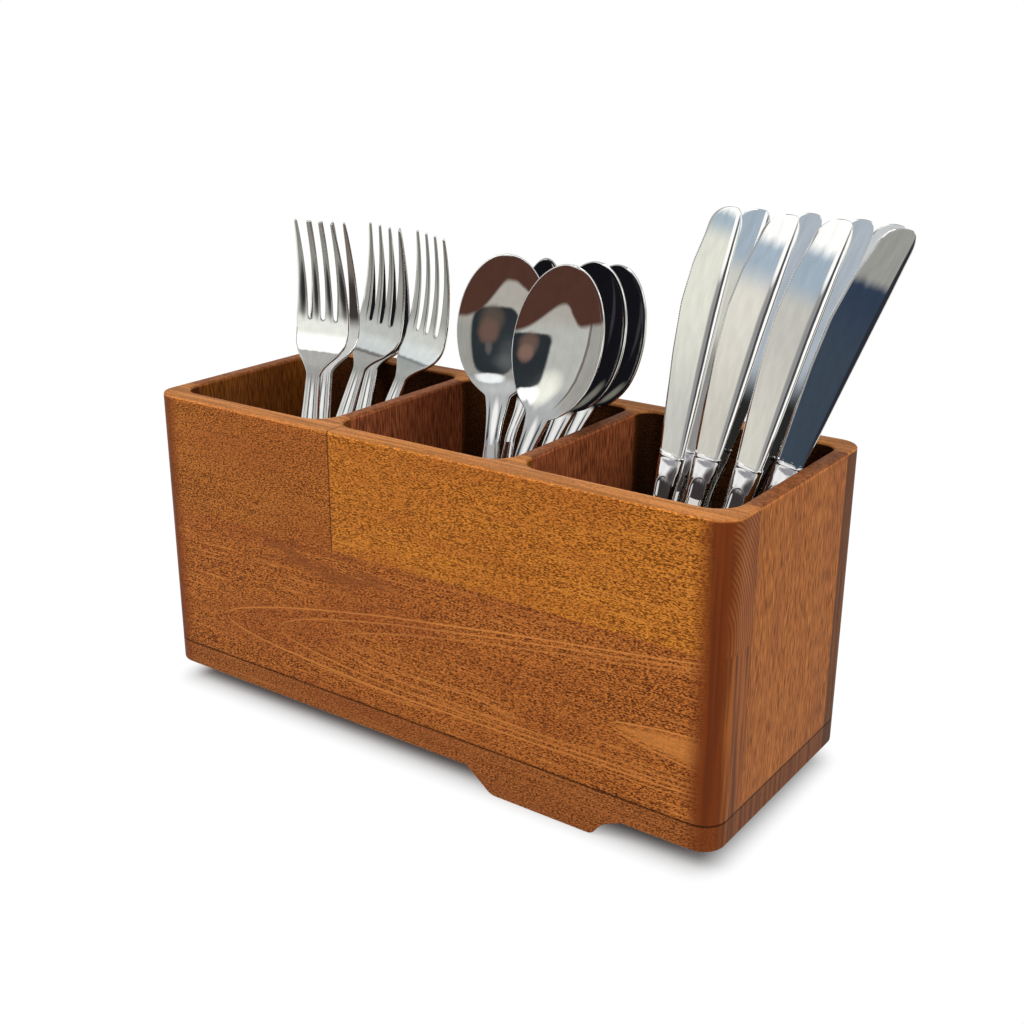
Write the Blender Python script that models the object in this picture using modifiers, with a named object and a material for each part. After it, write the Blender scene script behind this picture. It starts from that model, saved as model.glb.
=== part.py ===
"""Wooden cutlery box of three bays, glued up from boards, with forks, spoons and table knives in it.

Metres, +Z up. X runs along the length, the front faces -Y, and the origin is the middle of the
base board's underside. Each fork, spoon and knife leans in its bay and lifts out along its own line.
"""

import math

import bmesh
import bpy
import numpy as np
from mathutils import Matrix, Vector

# Overall sizes of the box
box_length = 0.2960
box_depth = 0.1180
body_height = 0.1350
corner_radius = 0.0100
top_ease = 0.0010
base_ease = 0.0014

# Boards: each pocket is scooped into the front and back boards, and leaves a wall there
base_thickness = 0.0115
front_board = 0.0210
front_wall = 0.0095
back_board = 0.0175
back_wall = 0.0102
end_board = 0.0068
partition_board = 0.0062
fork_bay_short_of_third = 0.0013
spoon_bay_short_of_third = 0.0007
front_seam_height = 0.0815
back_seam_height = 0.0700
front_butt_from_left = 0.1073

# Clearances: glue lines, what rests on the base, and how far a cutter runs past what it cuts
glue_gap = 0.0003
rest_gap = 0.0003
overrun = 0.0040
weld_distance = 0.00001

# Tab that hangs below the front edge of the base board
tab_from_left = 0.1805
tab_width = 0.0742
tab_depth = 0.0095
tab_thickness = 0.0100
tab_root = 0.0040
tab_left_run = 0.0115
tab_right_run = 0.0122
tab_corner = 0.0025
tab_hollow_shares = (0.70, 0.30)

# Turned feet: each shoulder is let into a shallow seat, and its spigot is glued into a blind hole
foot_radius = 0.0085
foot_seat_depth = 0.0012
foot_inset = 0.0250
foot_floor_radius = 0.0055
foot_waist_radius = 0.0068
spigot_radius = 0.0035
spigot_length = 0.0060
tab_floor_gap = 0.0003

# Forks: the head stands above the rim, and the handle reaches down to the base board
fork_above_rim = 0.0682
fork_thickness = 0.0022
fork_handle_width = 0.0160
fork_head_width = 0.0255
fork_head_length = 0.0483
fork_neck_length = 0.0199
fork_shoulder_length = 0.0110
fork_dip = 0.0070
fork_tine_radius = 0.0713
fork_head_rise_share = 0.164
fork_root_above_head = 0.0050
fork_slot_pitch = 0.0061
fork_tip_pitch = 0.0055
fork_slot_width = 0.0021
fork_tip_slot_width = 0.0040
fork_tine_point = 0.0030
fork_point_share = 0.45

# Spoons
spoon_above_rim = 0.0644
spoon_thickness = 0.0022
spoon_handle_width = 0.0164
spoon_bowl_length = 0.0644
spoon_bowl_width = 0.0428
spoon_bowl_depth = 0.0085
spoon_neck_length = 0.0219
spoon_dip = 0.0030
spoon_bowl_rise_share = 0.05
spoon_dish_power = 0.8

# Table knives
knife_above_rim = 0.0950
knife_blade_length = 0.1010
knife_handle_width = 0.0150
knife_handle_thickness = 0.0060
knife_blade_width = 0.0166
knife_blade_thickness = 0.0018
knife_bolster_length = 0.0060
knife_section_power = 0.6

# Handle outlines: share of the way from the handle's end to the neck, share of the handle's width
fork_handle_shares = ((0.0, 1.0), (0.15, 1.0), (0.44, 0.85), (0.84, 0.575), (1.0, 0.425))
spoon_handle_shares = ((0.0, 1.0), (0.18, 1.0), (0.53, 0.85), (0.88, 0.585), (1.0, 0.44))
knife_handle_shares = ((0.0, 0.95), (0.23, 1.0), (0.62, 0.80), (0.845, 0.613), (0.95, 0.73), (1.0, 0.747))

# Fork head with its shoulders: share of their length from the neck, share of the full width
fork_head_shares = ((0.0, 0.74), (0.08, 0.94), (0.17, 1.0), (0.30, 1.0), (1.0, 0.714))
fork_neck_power = 1.5

# Blade: share of its length, share of its width from the middle line to the edge and to the spine
blade_share_rows = (
    (0.015, 0.36, 0.31),
    (0.18, 0.46, 0.34),
    (0.40, 0.58, 0.36),
    (0.60, 0.63, 0.38),
    (0.76, 0.55, 0.40),
    (0.88, 0.39, 0.40),
    (0.945, 0.27, 0.39),
    (0.975, 0.19, 0.35),
    (0.992, 0.11, 0.29),
    (1.0, 0.00, 0.18),
)
blade_edge_thickness_share = 0.35

# Standing places: where each middle line meets the floor and the rim, as shares of the bay's inside
# length and depth from its left front corner, and the turn about the line in degrees
fork_floor_shares = ((0.655, 0.030), (0.670, 0.070), (0.350, 0.225), (0.570, 0.310), (0.540, 0.230))
fork_rim_shares = ((0.645, 0.280), (0.515, 0.490), (0.495, 0.760), (0.415, 0.955), (0.780, 0.780))
fork_turns = (22.0, 21.5, 6.5, 13.0, -4.0)
spoon_floor_shares = ((0.630, 0.230), (0.580, 0.155), (0.530, 0.290), (0.485, 0.480), (0.340, 0.840))
spoon_rim_shares = ((0.415, 0.680), (0.865, 0.360), (0.425, 0.855), (0.860, 0.575), (0.830, 0.810))
spoon_turns = (18.5, -2.0, -24.5, -12.5, -17.5)
knife_floor_shares = (
    (0.200, 0.530), (0.225, 0.615), (0.425, 0.535), (0.425, 0.685),
    (0.110, 0.660), (0.135, 0.740), (0.310, 0.785), (0.360, 0.930),
)
knife_rim_shares = (
    (0.495, 0.430), (0.605, 0.545), (0.815, 0.515), (0.915, 0.715),
    (0.475, 0.580), (0.565, 0.725), (0.760, 0.760), (0.845, 0.870),
)
knife_turns = (-1.0, 17.5, 7.0, 19.5, 17.5, 17.5, 18.5, 14.0)

# Counts and angles in degrees
corner_steps = 5
ease_steps = 2
foot_sides = 18
knife_sides = 10
round_end_angles = (14, 32, 52, 90)
bowl_angles = (0, 22, 42, 62, 82, 102, 122, 140, 156, 168, 176)
sharp_angle = 35

# Sizes that follow from those above
left_x = -box_length / 2
right_x = box_length / 2
front_y = -box_depth / 2
back_y = box_depth / 2
front_joint_y = front_y + front_board
back_joint_y = back_y - back_board
pocket_front_y = front_y + front_wall
pocket_back_y = back_y - back_wall
third_of_room = (box_length - 2 * end_board - 2 * partition_board) / 3
fork_bay = third_of_room - fork_bay_short_of_third
spoon_bay = third_of_room - spoon_bay_short_of_third
fork_bay_x = (left_x + end_board, left_x + end_board + fork_bay)
spoon_bay_x = (fork_bay_x[1] + partition_board, fork_bay_x[1] + partition_board + spoon_bay)
knife_bay_x = (spoon_bay_x[1] + partition_board, right_x - end_board)
bays = {"fork": fork_bay_x, "spoon": spoon_bay_x, "knife": knife_bay_x}
foot_height = tab_depth + tab_floor_gap
fork_length = body_height + fork_above_rim
spoon_length = body_height + spoon_above_rim
knife_length = body_height + knife_above_rim
board_floor = base_thickness + glue_gap


def clear_scene():
    """Take the start-up objects out of the scene."""
    for item in list(bpy.data.objects):
        bpy.data.objects.remove(item, do_unlink=True)


def new_collection(name):
    """Give a new collection linked to the scene."""
    collection = bpy.data.collections.new(name)
    bpy.context.scene.collection.children.link(collection)
    return collection


def finish_of(name, colour, roughness, metallic):
    """Give a plain surface of one colour."""
    material = bpy.data.materials.new(name)
    material.use_nodes = True
    shader = material.node_tree.nodes["Principled BSDF"]
    shader.inputs["Base Color"].default_value = (*colour, 1.0)
    shader.inputs["Roughness"].default_value = roughness
    shader.inputs["Metallic"].default_value = metallic
    return material


def add_mesh(name, points, faces, collection):
    """Give an object whose mesh has these points and faces."""
    mesh = bpy.data.meshes.new(name)
    mesh.from_pydata([tuple(point) for point in points], [], faces)
    mesh.validate()
    item = bpy.data.objects.new(name, mesh)
    collection.objects.link(item)
    return item


def add_box(name, x_range, y_range, z_range, collection):
    """Give a box between two limits along each axis."""
    mesh = bpy.data.meshes.new(name)
    shape = bmesh.new()
    bmesh.ops.create_cube(shape, size=1.0)
    ranges = (x_range, y_range, z_range)
    bmesh.ops.scale(shape, vec=Vector([high - low for low, high in ranges]), verts=shape.verts)
    bmesh.ops.translate(shape, vec=Vector([(low + high) / 2 for low, high in ranges]), verts=shape.verts)
    shape.to_mesh(mesh)
    shape.free()
    item = bpy.data.objects.new(name, mesh)
    collection.objects.link(item)
    return item


def as_cutter(item):
    """Show a shape as a wire that takes no part in the model."""
    item.hide_render = True
    item.display_type = "WIRE"
    return item


def combine(item, other, operation):
    """Cut, keep or join one closed shape with another."""
    modifier = item.modifiers.new(operation.lower() + "_" + other.name, "BOOLEAN")
    modifier.operation = operation
    modifier.solver = "EXACT"
    modifier.object = other


def loft_rings(name, rings, collection):
    """Join rings of equally many points, listed upwards and anticlockwise, and close both ends."""
    count = len(rings[0])
    points = [point for ring in rings for point in ring]
    faces = [tuple(reversed(range(count)))]
    for level in range(len(rings) - 1):
        low = level * count
        high = low + count
        for step in range(count):
            turn = (step + 1) % count
            faces.append((low + step, low + turn, high + turn, high + step))
    top = (len(rings) - 1) * count
    faces.append(tuple(range(top, top + count)))
    return add_mesh(name, points, faces, collection)


def rounded_outline(x_range, y_range, front_radius, back_radius, grow, height):
    """Give a rectangle's outline with rounded corners, moved outwards by grow, at one height."""
    corners = (
        (x_range[1] - front_radius, y_range[0] + front_radius, front_radius, -90),
        (x_range[1] - back_radius, y_range[1] - back_radius, back_radius, 0),
        (x_range[0] + back_radius, y_range[1] - back_radius, back_radius, 90),
        (x_range[0] + front_radius, y_range[0] + front_radius, front_radius, 180),
    )
    outline = []
    for middle_x, middle_y, radius, start in corners:
        for step in range(corner_steps + 1):
            angle = math.radians(start + 90 * step / corner_steps)
            reach = radius + grow
            outline.append((middle_x + reach * math.cos(angle), middle_y + reach * math.sin(angle), height))
    return outline


def eased_levels(ease):
    """Give the rise and the outward step of each point along a quarter round of an eased edge."""
    angles = [math.pi / 2 * step / ease_steps for step in range(ease_steps + 1)]
    return [(ease * math.sin(angle), ease * (1 - math.cos(angle))) for angle in angles]


def make_envelope(collection):
    """Outside of the whole box, with rounded corners and eased edges at the top and underneath."""
    rings = []
    for rise, step_in in reversed(eased_levels(base_ease)):
        rings.append((base_ease - rise, -step_in))
    for rise, step_in in eased_levels(top_ease):
        rings.append((body_height - top_ease + rise, -step_in))
    outlines = [
        rounded_outline((left_x, right_x), (front_y, back_y), corner_radius, corner_radius, grow, height)
        for height, grow in rings
    ]
    return as_cutter(loft_rings("envelope", outlines, collection))


def make_pocket(kind, collection):
    """Inside of one bay: straight walls, hollow corners where it is scooped, and a flared mouth."""
    rings = [(base_thickness - overrun, 0.0)]
    rings += [(body_height - top_ease + rise, step_out) for rise, step_out in eased_levels(top_ease)]
    rings.append((body_height + overrun, rings[-1][1]))
    front_radius = front_board - front_wall
    back_radius = back_board - back_wall
    y_range = (pocket_front_y, pocket_back_y)
    outlines = [
        rounded_outline(bays[kind], y_range, front_radius, back_radius, grow, height)
        for height, grow in rings
    ]
    return as_cutter(loft_rings(kind + "_pocket", outlines, collection))


def make_staves(parts, envelope, pockets):
    """Front and back boards: staves glued edge to edge, and butted in the front's upper row."""
    butt_x = left_x + front_butt_from_left
    half_gap = glue_gap / 2
    outside_x = (left_x - overrun, right_x + overrun)
    front_range = (front_y - overrun, front_joint_y)
    back_range = (back_joint_y, back_y + overrun)
    front_low = (board_floor, front_seam_height - half_gap)
    front_high = (front_seam_height + half_gap, body_height + overrun)
    back_low = (board_floor, back_seam_height - half_gap)
    back_high = (back_seam_height + half_gap, body_height + overrun)
    left_part = (outside_x[0], butt_x - half_gap)
    right_part = (butt_x + half_gap, outside_x[1])
    staves = (
        ("front_lower_stave", outside_x, front_range, front_low, (0.42, 0.17, 0.05)),
        ("front_upper_left_stave", left_part, front_range, front_high, (0.40, 0.14, 0.05)),
        ("front_upper_right_stave", right_part, front_range, front_high, (0.45, 0.19, 0.06)),
        ("back_lower_stave", outside_x, back_range, back_low, (0.33, 0.13, 0.05)),
        ("back_upper_stave", outside_x, back_range, back_high, (0.36, 0.14, 0.05)),
    )
    for name, x_range, y_range, z_range, colour in staves:
        stave = add_box(name, x_range, y_range, z_range, parts)
        combine(stave, envelope, "INTERSECT")
        for kind, pocket in pockets.items():
            if bays[kind][0] < x_range[1] and bays[kind][1] > x_range[0]:
                combine(stave, pocket, "DIFFERENCE")
        stave.data.materials.append(finish_of(name + "_finish", colour, 0.45, 0.0))


def make_standing_board(name, x_range, colour, parts):
    """End or partition board between the front and back boards, with its two top edges eased."""
    y_range = (front_joint_y + glue_gap, back_joint_y - glue_gap)
    board = add_box(name, x_range, y_range, (board_floor, body_height), parts)
    shape = bmesh.new()
    shape.from_mesh(board.data)
    middle_height = body_height / 2
    top_edges = [
        edge
        for edge in shape.edges
        if all(vert.co.z > middle_height for vert in edge.verts)
        and abs(edge.verts[0].co.x - edge.verts[1].co.x) < glue_gap
    ]
    bmesh.ops.bevel(
        shape, geom=top_edges, offset=top_ease, offset_type="OFFSET", segments=ease_steps, profile=0.5,
        affect="EDGES",
    )
    shape.to_mesh(board.data)
    shape.free()
    board.data.materials.append(finish_of(name + "_finish", colour, 0.45, 0.0))


def bend(start, corner, end, steps):
    """Points of a curve that leaves start towards corner and reaches end, without its last point."""
    shares = [step / steps for step in range(steps)]
    return [
        tuple(
            (1 - share) ** 2 * first + 2 * share * (1 - share) * middle + share ** 2 * last
            for first, middle, last in zip(start, corner, end)
        )
        for share in shares
    ]


def make_tab(collection):
    """Flat tab outline in the plane of the front, straight on its left and hollow on its right."""
    floor_z = -tab_depth
    low_left = tab_left_run
    low_right = tab_width - tab_right_run
    slope = math.hypot(tab_left_run, tab_depth)
    on_slope = (low_left - tab_left_run * tab_corner / slope, floor_z + tab_depth * tab_corner / slope)
    turn_up = (low_right, floor_z)
    on_side = (low_right + tab_corner / 2, floor_z + tab_corner)
    hollow = (tab_width - tab_right_run * tab_hollow_shares[0], floor_z * tab_hollow_shares[1])
    outline = [(0.0, tab_root), (0.0, 0.0)]
    outline += bend(on_slope, (low_left, floor_z), (low_left + tab_corner, floor_z), corner_steps)
    outline += [(low_left + tab_corner, floor_z)]
    outline += bend((low_right - tab_corner, floor_z), turn_up, on_side, corner_steps)
    outline += bend(on_side, hollow, (tab_width, 0.0), corner_steps)
    outline += [(tab_width, 0.0), (tab_width, tab_root)]
    curve = bpy.data.curves.new("tab_outline", "CURVE")
    curve.dimensions = "2D"
    curve.fill_mode = "BOTH"
    curve.extrude = tab_thickness / 2
    spline = curve.splines.new("POLY")
    spline.points.add(len(outline) - 1)
    for point, (across, height) in zip(spline.points, outline):
        point.co = (across, height, 0.0, 1.0)
    spline.use_cyclic_u = True
    guide = bpy.data.objects.new("tab_outline", curve)
    collection.objects.link(guide)
    guide.rotation_euler = (math.pi / 2, 0.0, 0.0)
    guide.location = (left_x + tab_from_left, front_y + tab_thickness / 2, 0.0)
    bpy.context.view_layer.update()
    evaluated = guide.evaluated_get(bpy.context.evaluated_depsgraph_get())
    mesh = bpy.data.meshes.new_from_object(evaluated)
    shape = bmesh.new()
    shape.from_mesh(mesh)
    bmesh.ops.remove_doubles(shape, verts=shape.verts, dist=weld_distance)
    bmesh.ops.recalc_face_normals(shape, faces=shape.faces)
    shape.to_mesh(mesh)
    shape.free()
    tab = bpy.data.objects.new("tab", mesh)
    collection.objects.link(tab)
    tab.matrix_world = guide.matrix_world.copy()
    bpy.data.objects.remove(guide)
    return as_cutter(tab)


def foot_places():
    """Middles of the four feet under the base board."""
    reach_x = box_length / 2 - foot_inset
    reach_y = box_depth / 2 - foot_inset
    return {
        "front_left_foot": (-reach_x, -reach_y),
        "front_right_foot": (reach_x, -reach_y),
        "back_left_foot": (-reach_x, reach_y),
        "back_right_foot": (reach_x, reach_y),
    }


def turn_profile(name, profile, place, collection):
    """Turn a profile of radius and height, listed top to bottom, about an upright line."""
    mesh = bpy.data.meshes.new(name)
    points = [(radius, 0.0, height) for radius, height in profile]
    mesh.from_pydata(points, [(step, step + 1) for step in range(len(points) - 1)], [])
    item = bpy.data.objects.new(name, mesh)
    collection.objects.link(item)
    item.location = (place[0], place[1], 0.0)
    screw = item.modifiers.new("turned", "SCREW")
    screw.steps = foot_sides
    screw.render_steps = foot_sides
    screw.use_merge_vertices = True
    screw.merge_threshold = weld_distance
    return item


def make_base_board(parts, cutters, envelope):
    """Base board across the whole box, with its front tab and the seats and blind holes for the feet."""
    x_range = (left_x - overrun, right_x + overrun)
    y_range = (front_y - overrun, back_y + overrun)
    board = add_box("base_board", x_range, y_range, (-overrun, base_thickness), parts)
    combine(board, envelope, "INTERSECT")
    combine(board, make_tab(cutters), "UNION")
    hole_radius = spigot_radius + glue_gap
    hole_depth = spigot_length + glue_gap
    seat_radius = foot_radius + glue_gap
    profile = (
        (0.0, hole_depth),
        (hole_radius, hole_depth),
        (hole_radius, foot_seat_depth),
        (seat_radius, foot_seat_depth),
        (seat_radius, -overrun),
        (0.0, -overrun),
    )
    for name, place in foot_places().items():
        hole = as_cutter(turn_profile(name + "_hole", profile, place, cutters))
        combine(board, hole, "DIFFERENCE")
    board.data.materials.append(finish_of("base_board_finish", (0.38, 0.15, 0.05), 0.45, 0.0))


def make_feet(parts):
    """Turned button feet, shouldered in their seats in the underside of the base board."""
    shoulder = foot_seat_depth - glue_gap
    profile = (
        (0.0, spigot_length),
        (spigot_radius, spigot_length),
        (spigot_radius, shoulder),
        (foot_waist_radius, shoulder),
        (foot_radius, -foot_height / 4),
        (foot_radius, -foot_height / 2),
        (foot_floor_radius, -foot_height),
        (0.0, -foot_height),
    )
    for name, place in foot_places().items():
        foot = turn_profile(name, profile, place, parts)
        foot.data.materials.append(finish_of(name + "_finish", (0.24, 0.10, 0.04), 0.5, 0.0))


def width_along(distance, length, rows, width):
    """Half width at a distance along a piece, from rows of shares of its length and its width."""
    places = [share * length for share, _ in rows]
    halves = [share * width / 2 for _, share in rows]
    return float(np.interp(distance, places, halves))


def round_end(distance, radius):
    """Share of the full width at a distance from an end that is rounded to a radius."""
    if distance >= radius:
        return 1.0
    return math.sqrt(max(0.0, 1 - (1 - distance / radius) ** 2))


def neck_dip(distance, start, length, depth):
    """Set-back of the middle surface, from none at the neck's start to its depth at the neck's end."""
    share = min(max((distance - start) / length, 0.0), 1.0)
    return depth * (1 - math.cos(math.pi * share)) / 2


def end_stations(radius):
    """Distances from a rounded end at which its curve is well described."""
    return [radius * (1 - math.cos(math.radians(angle))) for angle in round_end_angles]


def spaced(start, end, count):
    """Evenly spaced distances from start up to, but not with, end."""
    return [start + (end - start) * step / count for step in range(count)]


def fork_half_width(distance):
    """Half of the fork's overall width at a distance from the handle's end."""
    outline_length = fork_head_length + fork_shoulder_length
    shoulder = fork_length - outline_length
    neck = fork_length - fork_head_length - fork_neck_length
    if distance <= neck:
        half = width_along(distance, neck, fork_handle_shares, fork_handle_width)
        return half * round_end(distance, fork_handle_width / 2)
    if distance < shoulder:
        waist = fork_handle_shares[-1][1] * fork_handle_width / 2
        widest = fork_head_shares[0][1] * fork_head_width / 2
        share = (distance - neck) / (shoulder - neck)
        return waist + (widest - waist) * share ** fork_neck_power
    return width_along(distance - shoulder, outline_length, fork_head_shares, fork_head_width)


def fork_forward(distance):
    """How far the fork's middle surface stands forward at a distance from the handle's end."""
    head = fork_length - fork_head_length
    if distance < head:
        return -neck_dip(distance, head - fork_neck_length, fork_neck_length, fork_dip)
    past = distance - head
    return -fork_dip + fork_head_rise_share * past + past ** 2 / (2 * fork_tine_radius)


def fork_row(distance):
    """Sideways places of the eight lines that bound the four tines, at a distance along the fork."""
    half = fork_half_width(distance)
    root = fork_length - fork_head_length + fork_root_above_head
    reach = max(0.0, (distance - root) / (fork_length - root))
    pitch = fork_slot_pitch + (fork_tip_pitch - fork_slot_pitch) * reach
    slot = (fork_slot_width + (fork_tip_slot_width - fork_slot_width) * reach) / 2
    full = fork_half_width(root)
    if distance < root:
        pitch *= half / full
        slot *= half / full
    inner = [middle + side for middle in (-pitch, 0.0, pitch) for side in (-slot, slot)]
    row = [-half, *inner, half]
    blunt = (fork_length - distance) / fork_tine_point
    if blunt < 1:
        keep = fork_point_share + (1 - fork_point_share) * math.sqrt(1 - (1 - blunt) ** 2)
        for tine in range(4):
            low, high = row[2 * tine], row[2 * tine + 1]
            middle = (low + high) / 2
            row[2 * tine] = middle + (low - middle) * keep
            row[2 * tine + 1] = middle + (high - middle) * keep
    return row


def fork_surface():
    """Middle surface of a fork: a grid of points and its faces, with the slots left open."""
    head = fork_length - fork_head_length
    neck = head - fork_neck_length
    root = head + fork_root_above_head
    stations = end_stations(fork_handle_width / 2)
    stations += spaced(stations[-1], neck, 4)[1:]
    shoulder = head - fork_shoulder_length
    stations += spaced(neck, shoulder, 3)
    stations += spaced(shoulder, head, 3)
    stations += [head, root - fork_slot_width / 2, root]
    stations += spaced(root, fork_length - fork_tine_point, 5)[1:]
    stations += [fork_length - fork_tine_point, fork_length - fork_tine_point / 3, fork_length]
    points = [(across, -fork_forward(along), along) for along in stations for across in fork_row(along)]
    first_open = stations.index(root)
    faces = []
    for level in range(len(stations) - 1):
        for column in range(7):
            if column % 2 and level >= first_open:
                continue
            low = level * 8 + column
            faces.append((low, low + 1, low + 9, low + 8))
    return points, faces


def spoon_half_width(distance):
    """Half of the spoon's width at a distance from the handle's end."""
    bowl = spoon_length - spoon_bowl_length
    neck = bowl - spoon_neck_length
    waist = spoon_handle_shares[-1][1] * spoon_handle_width / 2
    across_bowl = 0.0
    if distance > bowl:
        across = 2 * (distance - bowl) / spoon_bowl_length - 1
        across_bowl = spoon_bowl_width / 2 * math.sqrt(max(0.0, 1 - across ** 2))
    if distance > bowl + spoon_bowl_length / 4:
        return across_bowl
    if distance > neck:
        share = min((distance - neck) / spoon_neck_length, 1.0)
        return max(waist * (1 + share ** 2 / 2), across_bowl)
    half = width_along(distance, neck, spoon_handle_shares, spoon_handle_width)
    return half * round_end(distance, spoon_handle_width / 2)


def spoon_forward(across, distance):
    """How far the spoon's middle surface stands forward, with the dish of its bowl."""
    bowl = spoon_length - spoon_bowl_length
    if distance < bowl:
        return -neck_dip(distance, bowl - spoon_neck_length, spoon_neck_length, spoon_dip)
    along = 2 * (distance - bowl) / spoon_bowl_length - 1
    inside = max(0.0, 1 - along ** 2 - (2 * across / spoon_bowl_width) ** 2)
    rim = -spoon_dip + spoon_bowl_rise_share * (distance - bowl)
    return rim - spoon_bowl_depth * inside ** spoon_dish_power


def spoon_surface():
    """Middle surface of a spoon: a grid of points and its faces."""
    bowl = spoon_length - spoon_bowl_length
    neck = bowl - spoon_neck_length
    stations = end_stations(spoon_handle_width / 2)
    stations += spaced(stations[-1], neck, 4)[1:]
    stations += spaced(neck, bowl, 3)
    for angle in bowl_angles:
        stations.append(bowl + spoon_bowl_length * (1 - math.cos(math.radians(angle))) / 2)
    column_shares = (-1.0, -0.78, -0.42, 0.0, 0.42, 0.78, 1.0)
    points = []
    for along in stations:
        half = spoon_half_width(along)
        for share in column_shares:
            points.append((share * half, -spoon_forward(share * half, along), along))
    columns = len(column_shares)
    faces = []
    for level in range(len(stations) - 1):
        for column in range(columns - 1):
            low = level * columns + column
            faces.append((low, low + 1, low + columns + 1, low + columns))
    return points, faces


def knife_ring(middle, half_width, half_thickness, edge_share, along):
    """One cross-section of a knife: an oval ring that thins towards the cutting edge."""
    ring = []
    for step in range(knife_sides):
        angle = 2 * math.pi * step / knife_sides
        toward_spine = (1 + math.cos(angle)) / 2
        thickness = half_thickness * (edge_share + (1 - edge_share) * toward_spine)
        side = math.copysign(abs(math.sin(angle)) ** knife_section_power, math.sin(angle))
        ring.append((middle + half_width * math.cos(angle), thickness * side, along))
    return ring


def knife_rings():
    """Cross-sections of a table knife from the handle's end, over the bolster, to the tip."""
    shoulder = knife_length - knife_blade_length
    half_thickness = knife_handle_thickness / 2
    stations = end_stations(knife_handle_width / 2)
    stations += spaced(stations[-1], shoulder - knife_bolster_length, 4)[1:]
    stations += [shoulder - knife_bolster_length, shoulder]
    rings = []
    for along in stations:
        half = width_along(along, shoulder, knife_handle_shares, knife_handle_width)
        rounding = round_end(along, knife_handle_width / 2)
        rings.append(knife_ring(0.0, half * rounding, half_thickness * rounding, 1.0, along))
    half_blade = knife_blade_thickness / 2
    for along_share, edge_share, spine_share in blade_share_rows:
        edge = -edge_share * knife_blade_width
        spine = spine_share * knife_blade_width
        middle = (edge + spine) / 2
        along = shoulder + along_share * knife_blade_length
        half = (spine - edge) / 2
        rings.append(knife_ring(middle, half, half_blade, blade_edge_thickness_share, along))
    return rings


def inside_point(kind, shares, height):
    """Point at a height over a bay's floor, at shares of its inside length and depth."""
    x_range = bays[kind]
    depth = pocket_back_y - pocket_front_y
    return Vector((
        x_range[0] + (x_range[1] - x_range[0]) * shares[0],
        pocket_front_y + depth * shares[1],
        height,
    ))


def standing_matrix(kind, floor_shares, rim_shares, turn, points, thickness):
    """Place of a leaning piece: on its line from floor to rim, with its lowest point on the base."""
    foot = inside_point(kind, floor_shares, base_thickness)
    up = (inside_point(kind, rim_shares, body_height) - foot).normalized()
    angle = math.radians(turn)
    facing = Vector((math.sin(angle), -math.cos(angle), 0.0))
    facing = (facing - up * facing.dot(up)).normalized()
    across = up.cross(facing)
    turning = Matrix((across, -facing, up)).transposed()
    lowest = min((turning @ Vector(point)).z for point in points)
    lift = rest_gap + thickness / 2 * abs(facing.z) - lowest
    foot += up * (lift / up.z)
    return Matrix.Translation(foot) @ turning.to_4x4()


def make_sheet_piece(name, surface, thickness, matrix, parts):
    """Fork or spoon: its middle surface, given its thickness."""
    item = add_mesh(name, surface[0], surface[1], parts)
    shell = item.modifiers.new("thickness", "SOLIDIFY")
    shell.thickness = thickness
    shell.offset = 0.0
    item.matrix_world = matrix
    item.data.shade_smooth()
    item.data.set_sharp_from_angle(angle=math.radians(sharp_angle))
    item.data.materials.append(finish_of(name + "_finish", (0.62, 0.62, 0.61), 0.16, 1.0))


def make_cutlery(parts):
    """Five forks, five spoons and eight table knives, each on its own line in its bay."""
    fork = fork_surface()
    places = zip(fork_floor_shares, fork_rim_shares, fork_turns)
    for number, (floor_shares, rim_shares, turn) in enumerate(places, 1):
        matrix = standing_matrix("fork", floor_shares, rim_shares, turn, fork[0], fork_thickness)
        make_sheet_piece("fork_" + str(number), fork, fork_thickness, matrix, parts)
    spoon = spoon_surface()
    places = zip(spoon_floor_shares, spoon_rim_shares, spoon_turns)
    for number, (floor_shares, rim_shares, turn) in enumerate(places, 1):
        matrix = standing_matrix("spoon", floor_shares, rim_shares, turn, spoon[0], spoon_thickness)
        make_sheet_piece("spoon_" + str(number), spoon, spoon_thickness, matrix, parts)
    rings = knife_rings()
    points = [point for ring in rings for point in ring]
    places = zip(knife_floor_shares, knife_rim_shares, knife_turns)
    for number, (floor_shares, rim_shares, turn) in enumerate(places, 1):
        knife = loft_rings("knife_" + str(number), rings, parts)
        knife.matrix_world = standing_matrix("knife", floor_shares, rim_shares, turn, points, 0.0)
        knife.data.shade_smooth()
        knife.data.set_sharp_from_angle(angle=math.radians(sharp_angle))
        knife.data.materials.append(finish_of(knife.name + "_finish", (0.66, 0.65, 0.63), 0.14, 1.0))


def main():
    """Build the box and what stands in it."""
    clear_scene()
    parts = new_collection("cutlery_box")
    cutters = new_collection("cutters")
    envelope = make_envelope(cutters)
    pockets = {kind: make_pocket(kind, cutters) for kind in bays}
    make_base_board(parts, cutters, envelope)
    make_staves(parts, envelope, pockets)
    brown = (0.30, 0.12, 0.05)
    make_standing_board("left_end_panel", (left_x, fork_bay_x[0]), brown, parts)
    make_standing_board("left_partition", (fork_bay_x[1], spoon_bay_x[0]), brown, parts)
    make_standing_board("right_partition", (spoon_bay_x[1], knife_bay_x[0]), brown, parts)
    make_standing_board("right_end_panel", (knife_bay_x[1], right_x), brown, parts)
    make_feet(parts)
    make_cutlery(parts)


main()
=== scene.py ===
"""Looks of a wooden cutlery box of three bays, with forks, spoons and table knives standing in it.

Metres, +Z up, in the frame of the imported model: X runs along the box, its front faces -Y, and the origin
is the middle of the base board's underside. Each wooden board is an outline seen from above, raised
through levels. Each fork, spoon and knife is a thin shell over a grid of places across and along it, set
on its own leaning line. Wood and steel are procedural.
"""

import logging
import math
from dataclasses import dataclass, field
from enum import Enum
from typing import Iterable

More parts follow.
